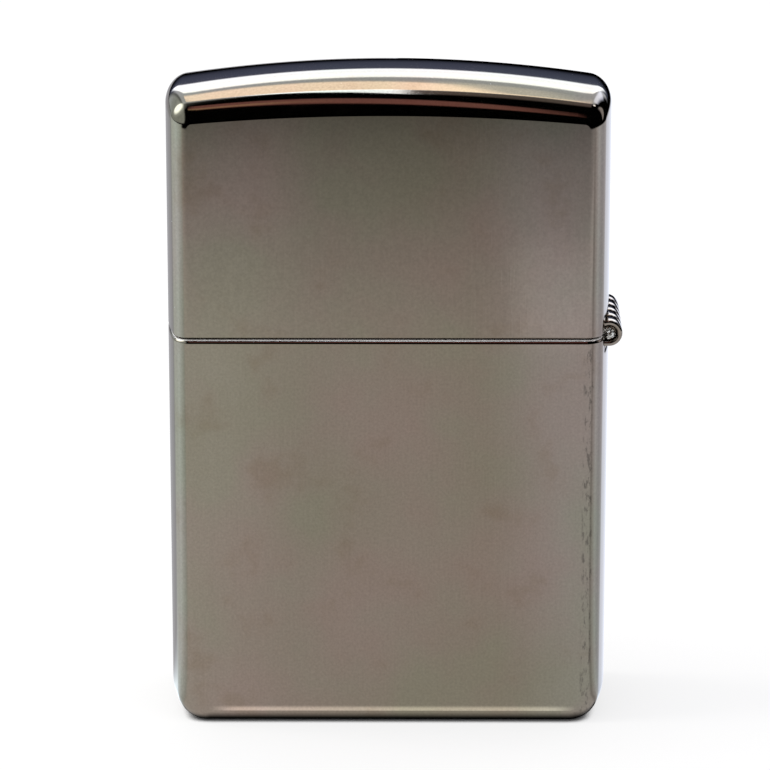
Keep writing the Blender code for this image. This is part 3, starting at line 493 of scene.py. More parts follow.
def pulled(bm, first, last, offset):
    """Closes an outline, fills it and pulls the face through into a closed block."""
    if (last.co - first.co).length > TINY:
        bm.edges.new((last, first))
    bmesh.ops.remove_doubles(bm, verts=bm.verts, dist=TINY)
    faces = bmesh.ops.contextual_create(bm, geom=bm.edges[:])["faces"]
    grown = bmesh.ops.extrude_face_region(bm, geom=faces)["geom"]
    bmesh.ops.translate(bm, vec=offset, verts=verts_of(grown))
    bmesh.ops.recalc_face_normals(bm, faces=bm.faces)


def rounded(bm, parts, radius, steps, affect="EDGES"):
    """Rounds edges, or the corners between them, to a radius."""
    bmesh.ops.bevel(
        bm, geom=parts, offset=radius, segments=steps, profile=0.5, affect=affect, material=-1
    )


def roll_edges(bm, rim, radius, steps):
    """Rolls over every front and back edge of a block but the rim's, then opens the rim."""
    edges = [
        edge
        for edge in bm.edges
        if abs(edge.verts[0].co.y - edge.verts[1].co.y) < TINY
        and not all(abs(vert.co.z - rim) < TINY for vert in edge.verts)
    ]
    rounded(bm, edges, radius, steps)
    lips = [face for face in bm.faces if all(abs(vert.co.z - rim) < TINY for vert in face.verts)]
    bmesh.ops.delete(bm, geom=lips, context="FACES")


def cut_across(bm, faces, place, normal):
    """Scores a plane's line across some of the faces."""
    geometry = dict.fromkeys(item for face in faces for item in (face, *face.edges, *face.verts))
    bmesh.ops.bisect_plane(bm, geom=list(geometry), plane_co=place, plane_no=normal)


def bow_sides(bm):
    """Swells the narrow sides out towards the middle of the depth."""
    for step in range(DEPTH_STEPS + 1):
        cut_across(bm, bm.faces, (0, SLOT_HALF_LENGTH * (2 * step / DEPTH_STEPS - 1), 0), DEPTHWISE)
    half = (case_high.x - case_low.x) / 2
    for vert in bm.verts:
        pinch = SIDE_BOW / half * (2 * vert.co.y / case_depth) ** 2
        vert.co.x -= (vert.co.x - middle) * pinch


def open_hinge_slot(bm, wall_x, edge_z):
    """Cuts the slot for the knuckles into the right-hand wall, from the rim to edge_z."""
    wall = [face for face in bm.faces if face.calc_center_median().x > wall_x - CASE_WALL]
    cut_across(bm, wall, (0, 0, edge_z), (0, 0, 1))
    low, high = sorted((edge_z, hinge_height))
    slot = []
    for face in bm.faces:
        centre = face.calc_center_median()
        across = centre.x > wall_x - CASE_WALL and abs(centre.y) < SLOT_HALF_LENGTH
        if across and low < centre.z < high:
            slot.append(face)
    bmesh.ops.delete(bm, geom=slot, context="FACES")


def make_piece(bm, name, body, slot, material, *nodes):
    """Makes a finished mesh a piece that rides on a body and stands for its CAD nodes."""
    for face in bm.faces:
        face.smooth = True
    piece = bpy.data.objects.new(name, bpy.data.meshes.new(name))
    bm.to_mesh(piece.data)
    bm.free()
    piece.data.materials.append(material)
    bpy.context.scene.collection.objects.link(piece)
    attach(piece, body)
    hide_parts(*nodes)
    return piece


def thicken(piece, thickness, offset):
    sheet = piece.modifiers.new("sheet", "SOLIDIFY")
    sheet.thickness = thickness
    sheet.offset = offset
    sheet.use_even_offset = True
    sheet.use_quality_normals = True


def ease_edges(piece, width, steps=3, angle=35):
    """Takes the sharpness off a piece's edges and keeps its flats flat in reflections."""
    eased = piece.modifiers.new("eased", "BEVEL")
    eased.width = width
    eased.segments = steps
    eased.limit_method = "ANGLE"
    eased.angle_limit = math.radians(angle)
    eased.use_clamp_overlap = False
    normals = piece.modifiers.new("flats", "WEIGHTED_NORMAL")
    normals.keep_sharp = True


def joint(name):
    """One of the frame's joints."""
    return next(joint for joint in frame["joints"] if joint["name"] == name)


hinge_x, _, hinge_height = joint("lid_hinge")["pos_m"]
case_low, case_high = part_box("bottom_case")
middle = (case_low.x + case_high.x) / 2
case_depth = case_high.y - case_low.y
plating = black_plating()

bm = bmesh.new()
front = case_low.y
rim = case_high.z + RIM_LIFT
start = bm.verts.new((case_low.x, front, rim))
end = line_to(bm, start, (case_low.x, front, BASE_CORNER))
end = swing(bm, end, (case_low.x + BASE_CORNER, front, BASE_CORNER), -math.pi / 2, ROUND_STEPS)
end = line_to(bm, end, (case_high.x - BASE_CORNER, front, 0))
end = swing(bm, end, (case_high.x - BASE_CORNER, front, BASE_CORNER), -math.pi / 2, ROUND_STEPS)
end = line_to(bm, end, (case_high.x, front, rim))
pulled(bm, start, end, (0, case_depth, 0))
roll_edges(bm, rim, EDGE_ROLL, ROUND_STEPS)


def base_face(bm):
    """The face nearest the middle of the underside."""
    flat = [face for face in bm.faces if face.normal.z < -0.99]
    return min(flat, key=lambda face: (face.calc_center_median() - Vector((middle, 0, 0))).length)


bmesh.ops.inset_region(bm, faces=[base_face(bm)], thickness=BASE_RIM, use_even_offset=True)
rounded(bm, base_face(bm).verts[:], PAN_CORNER, 8, "VERTICES")
bmesh.ops.inset_region(bm, faces=[base_face(bm)], thickness=PAN_SLOPE, use_even_offset=True)
bmesh.ops.translate(bm, vec=(0, 0, PAN_DEPTH), verts=base_face(bm).verts[:])
bow_sides(bm)
open_hinge_slot(bm, case_high.x, hinge_height - SLOT_REACH)
case_shell = make_piece(bm, "case_shell", "case", "black_chrome", plating, "bottom_case")
thicken(case_shell, CASE_WALL, -1)
ease_edges(case_shell, RIM_ROUND, 6, 60)

# Lid. A second drawn and plated cup, shallower, with a top that is arched both ways; it swings on
# the hinge and shuts down on the lower case along a fine seam.
LID_CORNER = 1.7 * MM
LID_SET_BACK = 0.15 * MM
LID_RIM_ROUND = 0.2 * MM
CROWN_RADIUS = 108 * MM
DEPTH_CROWN = 1.8 * MM
DEPTH_CROWN_POWER = 3
DEPTH_CROWN_EASE = 0.5
lid_low, lid_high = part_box("lid")
lean = math.asin((lid_high.x - middle - LID_CORNER) / (CROWN_RADIUS - LID_CORNER))
crown_centre = lid_high.z - CROWN_RADIUS
shoulder = crown_centre + (CROWN_RADIUS - LID_CORNER) * math.cos(lean)

bm = bmesh.new()
start = bm.verts.new((lid_high.x, front, lid_low.z))
end = line_to(bm, start, (lid_high.x, front, shoulder))
end = swing(bm, end, (lid_high.x - LID_CORNER, front, shoulder), lean - math.pi / 2, ROUND_STEPS)
end = swing(bm, end, (middle, front, crown_centre), -2 * lean, 40)
end = swing(bm, end, (lid_low.x + LID_CORNER, front, shoulder), lean - math.pi / 2, ROUND_STEPS)
end = line_to(bm, end, (lid_low.x, front, lid_low.z))
pulled(bm, start, end, (0, case_depth, 0))
roll_edges(bm, lid_low.z, EDGE_ROLL, ROUND_STEPS)
bow_sides(bm)
for vert in bm.verts:
    if vert.co.z > shoulder - TINY - EDGE_ROLL:
        aside = 2 * (vert.co.x - middle) / (lid_high.x - lid_low.x)
        fall = DEPTH_CROWN * (1 - DEPTH_CROWN_EASE * aside**2)
        vert.co.z -= fall * abs(2 * vert.co.y / case_depth) ** DEPTH_CROWN_POWER
open_hinge_slot(bm, lid_high.x, hinge_height + SLOT_REACH)
bmesh.ops.scale(bm, vec=(1, 1 - 2 * LID_SET_BACK / case_depth, 1), verts=bm.verts)
lid_shell = make_piece(bm, "lid_shell", "lid", "black_chrome", plating, "lid")
thicken(lid_shell, CASE_WALL, -1)
ease_edges(lid_shell, LID_RIM_ROUND, 4, 60)

# Hinge leaves. Two strips of plated sheet, fixed inside the case walls, that come out through the
# slot and curl round the pin: three knuckles on the lower leaf and two on the lid's.
LEAF_SHEET = 0.45 * MM
LEAF_LENGTH = 7.6 * MM
LEAF_BEND = 0.32 * MM
LEAF_EDGE = 0.17 * MM
KNUCKLE_RADIUS = 1.15 * MM
KNUCKLE_GAP = 0.1 * MM
KNUCKLES = 5
CURL_WRAP = math.radians(300)
hinge_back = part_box("hinge_pin")[1].y


def hinge_leaf(bm, own):
    """The lower leaf: up the wall, out through the slot and round the pin in its own knuckles."""
    plate_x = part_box("hinge_lower_leaf")[0].x + LEAF_SHEET / 2
    roll = KNUCKLE_RADIUS - LEAF_SHEET / 2
    room = KNUCKLE_RADIUS + 1.5 * KNUCKLE_GAP
    knuckle_step = 2 * hinge_back / KNUCKLES
    near = KNUCKLE_GAP / 2 - hinge_back
    level = hinge_height - roll
    end = bm.verts.new((plate_x, near, hinge_height - LEAF_LENGTH))
    end = line_to(bm, end, (plate_x, near, level - LEAF_BEND))
    end = swing(bm, end, (plate_x + LEAF_BEND, near, level - LEAF_BEND), math.pi / 2, 6)
    end = line_to(bm, end, (hinge_x - math.sqrt(room**2 - roll**2), near, level))
    end = line_to(bm, end, (hinge_x, near, level))
    swing(bm, end, (hinge_x, near, hinge_height), -CURL_WRAP, 48)
    edges = bm.edges[:]
    for strip in range(2 * KNUCKLES - 1):
        width = KNUCKLE_GAP if strip % 2 else knuckle_step - KNUCKLE_GAP
        grown = bmesh.ops.extrude_edge_only(bm, edges=edges)["geom"]
        bmesh.ops.translate(bm, vec=(0, width, 0), verts=verts_of(grown))
        edges = [item for item in grown if isinstance(item, bmesh.types.BMEdge)]
        far = max(vert.co.y for vert in verts_of(grown))
        edges = [edge for edge in edges if all(abs(vert.co.y - far) < TINY for vert in edge.verts)]
    spare = []
    for face in bm.faces:
        centre = face.calc_center_median()
        arm = Vector((centre.x - hinge_x, centre.z - hinge_height)).length
        knuckle, along = divmod(centre.y - near, knuckle_step)
        kept = knuckle in own and along < knuckle_step - KNUCKLE_GAP
        if arm < room - TINY and not kept:
            spare.append(face)
    bmesh.ops.delete(bm, geom=spare, context="FACES")


for name, body, own, turn in (
    ("hinge_lower_leaf", "case", (0, 2, 4), 1),
    ("hinge_upper_leaf", "lid", (1, 3), -1),
):
    bm = bmesh.new()
    hinge_leaf(bm, own)
    about = Matrix.Translation((0, 0, -hinge_height))
    bmesh.ops.scale(bm, vec=(1, 1, turn), space=about, verts=bm.verts)
    leaf = make_piece(bm, name + "_curled", body, "black_chrome", plating, name)
    thicken(leaf, LEAF_SHEET, 0)
    ease_edges(leaf, LEAF_EDGE, 4)

# Hinge pin. A length of bright steel wire pushed through the knuckles, its ends peened over so that
# it can't walk out.
PIN_CHAMFER = 0.16 * MM


def turned(outline, centre, steps, along=(0, 0, 1), closed=False):
    """A round piece spun from (radius, height) points, standing at a centre or laid along an axis."""
    bm = bmesh.new()
    radius, height = outline[0]
    first = end = bm.verts.new((radius, 0, height))
    for radius, height in outline[1:]:
        end = line_to(bm, end, (radius, 0, height))
    if closed:
        bm.edges.new((end, first))
    shape = bm.verts[:] + bm.edges[:]
    bmesh.ops.spin(
        bm, geom=shape, cent=(0, 0, 0), axis=(0, 0, 1), angle=2 * math.pi, steps=steps, use_merge=True
    )
    bmesh.ops.remove_doubles(bm, verts=bm.verts, dist=TINY)
    bmesh.ops.recalc_face_normals(bm, faces=bm.faces)
    lay = Vector((0, 0, 1)).rotation_difference(Vector(along)).to_matrix().to_4x4()
    bmesh.ops.transform(bm, matrix=Matrix.Translation(centre) @ lay, verts=bm.verts)
    return bm


def keep_corners(piece, angle=30):
    """Leaves the piece's own corners crisp and its round faces smooth."""
    piece.data.set_sharp_from_angle(angle=math.radians(angle))


def patterned(name, colour, metallic, roughness, tint, bump, gloss=None, sheen=0.0):
    """A finish from noises: tint and gloss as (noise, *stops), bump as (noise, strength, depth)."""
    material, tree, shader, place = new_material(name, colour, metallic, roughness)
    for socket, given in (("Base Color", tint), ("Roughness", gloss)):
        if given:
            pattern, *stops = given
            tone = graded(tree, noise(tree, place, *pattern), *stops)
            wire(tree, (tone, shader.inputs[socket]))
    pattern, strength, depth = bump
    add_bump(tree, shader, noise(tree, place, *pattern), strength, depth)
    shader.inputs["Sheen Weight"].default_value = sheen
    return material


# Bright steel, hammered and speckled all over, with dark pits.
PITS = (0.16 * MM, 3.0, 0.6)
DENTS = (0.3 * MM, 2.0)
peened_steel = patterned(
    "peened_steel",
    (0.7, 0.68, 0.63),
    metallic=1.0,
    roughness=0.2,
    tint=(PITS, (0.36, (0.06, 0.055, 0.05)), (0.5, (0.62, 0.58, 0.5)), (0.62, (0.9, 0.88, 0.82))),
    bump=(DENTS, 1.0, 0.3 * MM),
)
pin_low, pin_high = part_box("hinge_pin")
pin_radius = (pin_high.z - pin_low.z) / 2
half_round = [
    (0, pin_high.y),
    (0.6 * pin_radius, pin_high.y - 0.3 * PIN_CHAMFER),
    (0.88 * pin_radius, pin_high.y - PIN_CHAMFER),
    (pin_radius, pin_high.y - 2.2 * PIN_CHAMFER),
]
half_round += [(radius, -height) for radius, height in reversed(half_round)]
bm = turned(half_round, (hinge_x, 0, hinge_height), 32, DEPTHWISE)
make_piece(bm, "hinge_pin_peened", "case", "spring_steel", peened_steel, "hinge_pin")

# Insert tank. A deep-drawn stainless can, open at the bottom, that fits in the case by friction; its
# top is pierced for the wick, the flint tube and the cam.
TANK_WALL = 0.4 * MM
TANK_CORNER = 1.7 * MM
TANK_SHOULDER = 1.2 * MM
WICK_HOLE = 1.7 * MM
FLINT_HOLE = 1.95 * MM
CAM_SLOT = (4.4 * MM, 2.8 * MM)
TANK_EDGE = 0.06 * MM
WICK_OFFSET = 0.8 * MM
OVERCUT = 1.0 * MM


def block(low, high):
    """A box between two corners."""
    low, high = Vector(low), Vector(high)
    size = Matrix.Diagonal((*(high - low), 1))
    bm = bmesh.new()
    bmesh.ops.create_cube(bm, size=1, matrix=Matrix.Translation((low + high) / 2) @ size)
    return bm


def drill(radius, centre, reach, along=(0, 0, 1), sides=48):
    """A round rod through a centre, for cutting a hole."""
    return turned([(0, -reach), (radius, -reach), (radius, reach), (0, reach)], centre, sides, along)


def carved(bm, *tools, how="DIFFERENCE"):
    """Cuts closed tools out of a closed mesh, or joins them on, and gives the mesh that is left."""
    shapes = []
    for shape in (bm, *tools):
        shapes.append(bpy.data.objects.new("carving", bpy.data.meshes.new("carving")))
        shape.to_mesh(shapes[-1].data)
        shape.free()
        bpy.context.scene.collection.objects.link(shapes[-1])
    for tool in shapes[1:]:
        cut = shapes[0].modifiers.new("cut", "BOOLEAN")
        cut.object = tool
        cut.operation = how
        cut.solver = "EXACT"
    result = bmesh.new()
    result.from_object(shapes[0], bpy.context.evaluated_depsgraph_get())
    for shape in shapes:
        bpy.data.meshes.remove(shape.data)
    return result


def upright_edges(bm):
    """The edges that stand straight up."""
    return [
        edge
        for edge in bm.edges
        if (edge.verts[0].co.xy - edge.verts[1].co.xy).length < TINY
    ]


def tank(low, high, inset):
    """The can's outside, or its inside when inset."""
    size = Vector((inset, inset, 0))
    bm = block(low + size, high - size)
    rounded(bm, upright_edges(bm), TANK_CORNER - inset, 10)
    rim = [edge for edge in bm.edges if all(abs(vert.co.z - high.z) < TINY for vert in edge.verts)]
    rounded(bm, rim, TANK_SHOULDER - inset, 8)
    return bm


# Stainless sheet with a fine upright brushing and soft stains.
STAINS = (3.5 * MM, 4.0, 0.6)
BRUSHING = (0.09 * MM, 3.0, 0.5, (1, 1, 0.025))
steel = patterned(
    "satin_steel",
    (0.62, 0.61, 0.59),
    metallic=1.0,
    roughness=0.28,
    tint=(STAINS, (0.3, (0.50, 0.48, 0.45)), (0.6, (0.64, 0.63, 0.61))),
    gloss=(BRUSHING, (0.3, 0.22), (0.7, 0.40)),
    bump=(BRUSHING, 0.25, 0.01 * MM),
)
wheel_axis = Vector(joint("flint_wheel_spin")["pos_m"])
cam_axis = Vector(joint("cam_pivot")["pos_m"])
wick_low, wick_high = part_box("wick")
wick_x = middle + WICK_OFFSET
tank_low, tank_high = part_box("insert_shell")
bm = carved(
    tank(tank_low, tank_high, 0),
    tank(tank_low - Vector((0, 0, OVERCUT)), tank_high - Vector((0, 0, TANK_WALL)), TANK_WALL),
)
top = tank_high.z
slot_half = Vector((CAM_SLOT[0], CAM_SLOT[1], 2 * OVERCUT)) / 2
cam_slot_at = Vector((cam_axis.x, 0, top))
bm = carved(
    bm,
    drill(WICK_HOLE, (wick_x, 0, top), OVERCUT),
    drill(FLINT_HOLE, (wheel_axis.x, 0, top), OVERCUT),
    block(cam_slot_at - slot_half, cam_slot_at + slot_half),
)
insert_tank = make_piece(bm, "insert_tank", "case", "stainless_steel", steel, "insert_shell")
ease_edges(insert_tank, TANK_EDGE, 2)

# Cam spring. A strip of blue spring steel, spot-welded up the inside of the tank and bent in under
# the heel of the cam.
CAM_SPRING_SHEET = 0.3 * MM
CAM_SPRING_BEND = 1.2 * MM
CAM_SPRING_EDGE = 0.05 * MM


def spring_temper(name, colour):
    """Hard-drawn spring steel: a straw and blue temper tint over fine drawing lines."""
    heat, lines = (2.5 * MM, 3.0), (0.12 * MM, 2.0)
    warm = tuple(min(1.0, tone * share) for tone, share in zip(colour, (1.15, 1.0, 0.78)))
    cool = tuple(min(1.0, tone * share) for tone, share in zip(colour, (0.75, 0.85, 1.1)))
    return patterned(
        name,
        colour,
        metallic=1.0,
        roughness=0.3,
        tint=(heat, (0.35, cool), (0.65, warm)),
        gloss=(lines, (0.3, 0.22), (0.7, 0.42)),
        bump=(lines, 0.2, 0.01 * MM),
    )


leaf_low, leaf_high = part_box("cam_spring")
wall_x = leaf_high.x - CAM_SPRING_SHEET / 2
leaf_z = leaf_high.z - CAM_SPRING_SHEET / 2
bend_centre = (wall_x - CAM_SPRING_BEND, leaf_low.y, leaf_z - CAM_SPRING_BEND)
bm = bmesh.new()
end = bm.verts.new((wall_x, leaf_low.y, leaf_low.z))
end = line_to(bm, end, (wall_x, leaf_low.y, bend_centre[2]))
end = swing(bm, end, bend_centre, -math.pi / 2, 10)
line_to(bm, end, (leaf_low.x, leaf_low.y, leaf_z))
strip = bmesh.ops.extrude_edge_only(bm, edges=bm.edges[:])["geom"]
bmesh.ops.translate(bm, vec=(0, leaf_high.y - leaf_low.y, 0), verts=verts_of(strip))
temper = spring_temper("leaf_temper", (0.45, 0.45, 0.46))
spring_leaf = make_piece(bm, "cam_spring_leaf", "case", "spring_steel", temper, "cam_spring")
thicken(spring_leaf, CAM_SPRING_SHEET, 0)
ease_edges(spring_leaf, CAM_SPRING_EDGE, 2)

# Flint tube. A length of drawn brass tube with its ends chamfered, pressed into the top of the tank;
# the flint slides up it to the wheel.
TUBE_BORE = 1.45 * MM
TUBE_CHAMFER = 0.12 * MM
# Plain brass with fine turning rings and a slight brown tarnish.
TARNISH = (1.8 * MM, 4.0, 0.6)
RINGS = (0.07 * MM, 2.0, 0.5, (0.05, 0.05, 1))
brass = patterned(
    "turned_brass",
    (0.78, 0.57, 0.25),
    metallic=1.0,
    roughness=0.28,
    tint=(TARNISH, (0.32, (0.52, 0.34, 0.14)), (0.58, (0.80, 0.59, 0.27))),
    gloss=(RINGS, (0.3, 0.2), (0.7, 0.38)),
    bump=(RINGS, 0.3, 0.01 * MM),
)
tube_low, tube_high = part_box("flint_tube")
tube_radius = (tube_high.x - tube_low.x) / 2
tube_wall = [
    (TUBE_BORE, tube_low.z + TUBE_CHAMFER),
    (TUBE_BORE + TUBE_CHAMFER, tube_low.z),
    (tube_radius - TUBE_CHAMFER, tube_low.z),
    (tube_radius, tube_low.z + TUBE_CHAMFER),
    (tube_radius, tube_high.z - TUBE_CHAMFER),
    (tube_radius - TUBE_CHAMFER, tube_high.z),
    (TUBE_BORE + TUBE_CHAMFER, tube_high.z),
    (TUBE_BORE, tube_high.z - TUBE_CHAMFER),
]
column = (wheel_axis.x, 0, 0)
bm = turned(tube_wall, column, 48, closed=True)
keep_corners(make_piece(bm, "flint_tube_drawn", "case", "brass", brass, "flint_tube"))

# Chimney. A strip of perforated stainless, folded round into a wind screen and spot-welded on the
# tank, with a pair of ears at each end for the wheel and for the cam.
SHEET = 0.45 * MM
FOLD = 0.75 * MM
HOLE_RADIUS = 1.0 * MM
HOLE_PITCH = (3.3 * MM, 3.2 * MM)
HOLE_TOP_ROW = 51.0 * MM
HOLE_ROWS = (3, 2, 3)
SPARK_WINDOW = (4.8 * MM, 5.4 * MM)
WHEEL_EAR = 2.1 * MM
CAM_EAR = 1.7 * MM
WHEEL_EAR_RISE = 4 * MM
CAM_EAR_RISE = 2 * MM
EAR_SPREAD = 0.15 * MM
WHEEL_RIVET_RADIUS = 0.85 * MM
CAM_RIVET_RADIUS = 0.7 * MM
CLEARANCE = 0.05 * MM
SCREEN_HALF = 3.7 * MM
SCREEN_EDGE = 0.07 * MM
screen_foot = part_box("chimney")[0].z
screen_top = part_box("chimney")[1].z
screen_front = middle - 5.4 * MM
screen_rear = middle + 7.0 * MM
cam_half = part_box("cam")[1].y


def screen(inset, foot, top):
    """The wind screen's plan, pulled upwards: square with folded corners in front, round behind."""
    half = SCREEN_HALF - inset
    fold = FOLD - inset
    front = screen_front + inset
    bm = bmesh.new()
    start = bm.verts.new((front + fold, -half, foot))
    end = line_to(bm, start, (screen_rear - SCREEN_HALF, -half, foot))
    end = swing(bm, end, (screen_rear - SCREEN_HALF, 0, foot), math.pi, 40, (0, 0, 1))
    end = line_to(bm, end, (front + fold, half, foot))
    end = swing(bm, end, (front + fold, half - fold, foot), math.pi / 2, 8, (0, 0, 1))
    end = line_to(bm, end, (front, fold - half, foot))
    end = swing(bm, end, (front + fold, fold - half, foot), math.pi / 2, 8, (0, 0, 1))
    pulled(bm, start, end, (0, 0, top - foot))
    return bm


def ear(root_x, root_top, axis, radius, inner):
    """A bearing ear of sheet: a plate from the screen, rounded off about its rivet."""
    side = math.copysign(1, axis.x - root_x)
    near = min(inner, inner + math.copysign(SHEET, inner))
    arm = Vector((root_x - axis.x, root_top - axis.z))
    lead = math.atan2(arm.y, arm.x) - side * math.acos(radius / arm.length)
    sweep = lead if side > 0 else lead - math.pi
    bm = bmesh.new()
    start = bm.verts.new((root_x, near, screen_foot))
    end = line_to(bm, start, (root_x, near, root_top))
    tip = (axis.x + radius * math.cos(lead), near, axis.z + radius * math.sin(lead))
    end = line_to(bm, end, tip)
    end = swing(bm, end, (axis.x, near, axis.z), sweep, 20)
    end = line_to(bm, end, (end.co.x, near, screen_foot))
    pulled(bm, start, end, (0, SHEET, 0))
    return bm


holes = []
for row, count in enumerate(HOLE_ROWS):
    for column_of_holes in range(count):
        x = wick_x + (column_of_holes - (count - 1) / 2) * HOLE_PITCH[0]
        place = (x, 0, HOLE_TOP_ROW - row * HOLE_PITCH[1])
        holes.append(drill(HOLE_RADIUS, place, 2 * SCREEN_HALF, DEPTHWISE, 28))
window_half, window_height = SPARK_WINDOW[0] / 2, SPARK_WINDOW[1]
sill = screen_foot + OVERCUT
window_low = (screen_front - OVERCUT, -window_half, sill)
window_high = (screen_front + SHEET + OVERCUT, window_half, sill + window_height)
bm = carved(
    screen(0, screen_foot, screen_top),
    screen(SHEET, screen_foot - OVERCUT, screen_top + OVERCUT),
    block(window_low, window_high),
    *holes,
)
wheel_root = screen_front + SHEET / 2
cam_root = screen_rear - 2 * SHEET
ears = []
for side in (-1, 1):
    inner = side * (SCREEN_HALF - SHEET)
    ears.append(ear(wheel_root, wheel_axis.z + WHEEL_EAR_RISE, wheel_axis, WHEEL_EAR, inner))
    inner = side * (cam_half + EAR_SPREAD)
    ears.append(ear(cam_root, cam_axis.z + CAM_EAR_RISE, cam_axis, CAM_EAR, inner))
bm = carved(bm, *ears, how="UNION")
bm = carved(
    bm,
    drill(WHEEL_RIVET_RADIUS + CLEARANCE, wheel_axis, 2 * SCREEN_HALF, DEPTHWISE),
    drill(CAM_RIVET_RADIUS + CLEARANCE, cam_axis, 2 * SCREEN_HALF, DEPTHWISE),
)
chimney = make_piece(bm, "chimney_screen", "case", "stainless_steel", steel, "chimney")
ease_edges(chimney, SCREEN_EDGE, 2)

# Rivets. Plain steel pins through the ears, with a domed head formed on each end; the wheel and the
# cam turn on them.
for name, axis, shank in (
    ("wheel_rivet", wheel_axis, WHEEL_RIVET_RADIUS),
    ("cam_rivet", cam_axis, CAM_RIVET_RADIUS),
):
    low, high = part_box(name)
    head_radius = (high.z - low.z) / 2
    head = head_radius / 2
    seat = high.y - head
    rivet = [
        (0, seat + head),
        (0.35 * head_radius, seat + 0.96 * head),
        (0.66 * head_radius, seat + 0.78 * head),
        (0.88 * head_radius, seat + 0.5 * head),
        (head_radius, seat + 0.2 * head),
        (0.99 * head_radius, seat),
        (shank, seat),
    ]
    rivet += [(radius, -height) for radius, height in reversed(rivet)]
    bm = turned(rivet, axis, 32, DEPTHWISE)
    keep_corners(make_piece(bm, name + "_headed", "case", "stainless_steel", steel, name), 40)

# Striker wheel. A hardened steel wheel with file teeth cut round its rim, slanting one way on one
# half and the other way on the other; it grinds sparks off the flint.
WHEEL_TEETH = 28
TOOTH_DEPTH = 0.38 * MM
WHEEL_SLICES = 6
TURNING_FIT = 0.06 * MM
WHEEL_DISH = (0.6, 0.25 * MM)
# Hardened steel, blotched dark and light at random, with grey flint dust.
FLINT_DUST = (0.5 * MM, 4.0, 0.65)
file_steel = patterned(
    "file_steel",
    (0.33, 0.33, 0.34),
    metallic=1.0,
    roughness=0.38,
    tint=(FLINT_DUST, (0.35, (0.14, 0.135, 0.13)), (0.65, (0.42, 0.42, 0.43))),
    gloss=(FLINT_DUST, (0.3, 0.55), (0.7, 0.25)),
    bump=((0.1 * MM, 2.0), 0.3, 0.02 * MM),
)
wheel_low, wheel_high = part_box("flint_wheel")
wheel_half = (wheel_high.y - wheel_low.y) / 2
wheel_radius = (wheel_high.z - wheel_low.z) / 2
bm = bmesh.new()
rim = bmesh.ops.create_circle(bm, segments=2 * WHEEL_TEETH, radius=wheel_radius)["verts"]
bmesh.ops.scale(bm, vec=Vector((1, 1, 1)) * (1 - TOOTH_DEPTH / wheel_radius), verts=rim[::2])
lean_back = Matrix.Rotation(-0.5 * math.pi / WHEEL_TEETH, 3, "Z")
bmesh.ops.rotate(bm, matrix=lean_back, verts=rim[::2])
bmesh.ops.rotate(bm, matrix=Matrix.Rotation(math.pi / 2, 3, "X"), verts=bm.verts)
bmesh.ops.translate(bm, vec=(0, -wheel_half, 0), verts=bm.verts)
edges = bm.edges[:]
for step in range(2 * WHEEL_SLICES):
    slant = math.pi / WHEEL_TEETH / WHEEL_SLICES * (1 if step < WHEEL_SLICES else -1)
    grown = bmesh.ops.extrude_edge_only(bm, edges=edges)["geom"]
    verts = verts_of(grown)
    bmesh.ops.translate(bm, vec=(0, wheel_half / WHEEL_SLICES, 0), verts=verts)
    bmesh.ops.rotate(bm, matrix=Matrix.Rotation(slant, 3, "Y"), verts=verts)
    edges = [
        item for item in grown if isinstance(item, bmesh.types.BMEdge) and set(item.verts) <= set(verts)
    ]
bmesh.ops.holes_fill(bm, edges=bm.edges, sides=0)
bmesh.ops.recalc_face_normals(bm, faces=bm.faces)
bmesh.ops.translate(bm, vec=wheel_axis, verts=bm.verts)
dishes = []
for side in (-1, 1):
    place = wheel_axis + Vector((0, side * wheel_half, 0))
    dishes.append(drill(WHEEL_DISH[0] * wheel_radius, place, WHEEL_DISH[1], DEPTHWISE))
bore = drill(WHEEL_RIVET_RADIUS + TURNING_FIT, wheel_axis, 2 * wheel_half, DEPTHWISE)
bm = carved(bm, bore, *dishes)
keep_corners(make_piece(bm, "striker_wheel", "striker", "hard_steel", file_steel, "flint_wheel"), 25)

# Cam. A thick stamped steel lever that turns on its rivet; the lid knocks its nose over, and its two
# heel flats rest on the spring in turn.
CAM_REACH = 7.4 * MM
CAM_ANGLE = math.radians(36)
CAM_THROW = math.radians(41)
CAM_HUB = 1.9 * MM
CAM_NOSE = 0.8 * MM
CAM_FLAT = 2.45 * MM
CAM_HEEL_BACK = -1.2 * MM
CAM_HEEL_FRONT = 1.7 * MM
CAM_KNEE = Vector((2.5 * MM, 0, 0.1 * MM))
CAM_EDGE = 0.12 * MM
near = Vector((cam_axis.x, -cam_half, cam_axis.z))
heel_turn = -math.pi / 2 + CAM_THROW / 2
heel_corner = Vector((math.cos(heel_turn), 0, math.sin(heel_turn))) * CAM_FLAT / math.cos(CAM_THROW / 2)
heel_end = heel_corner + Vector((math.cos(CAM_THROW), 0, math.sin(CAM_THROW))) * CAM_HEEL_FRONT
along_arm = Vector((math.cos(CAM_ANGLE), 0, math.sin(CAM_ANGLE)))
across_arm = Vector((math.sin(CAM_ANGLE), 0, -math.cos(CAM_ANGLE)))
nose_centre = near + along_arm * CAM_REACH
bm = bmesh.new()
start = bm.verts.new(near + Vector((CAM_HEEL_BACK, 0, -CAM_FLAT)))
end = line_to(bm, start, near + heel_corner)
end = line_to(bm, end, near + heel_end)
end = line_to(bm, end, near + CAM_KNEE)
end = line_to(bm, end, nose_centre + across_arm * CAM_NOSE)
end = swing(bm, end, nose_centre, -math.pi, 20)
end = line_to(bm, end, near - across_arm * CAM_HUB)
end = swing(bm, end, near, CAM_ANGLE - 0.6 * math.pi, 16)
pulled(bm, start, end, (0, 2 * cam_half, 0))
bm = carved(bm, drill(CAM_RIVET_RADIUS + TURNING_FIT, cam_axis, 2 * cam_half, DEPTHWISE))
cam = make_piece(bm, "cam_lever", "cam", "stainless_steel", steel, "cam")
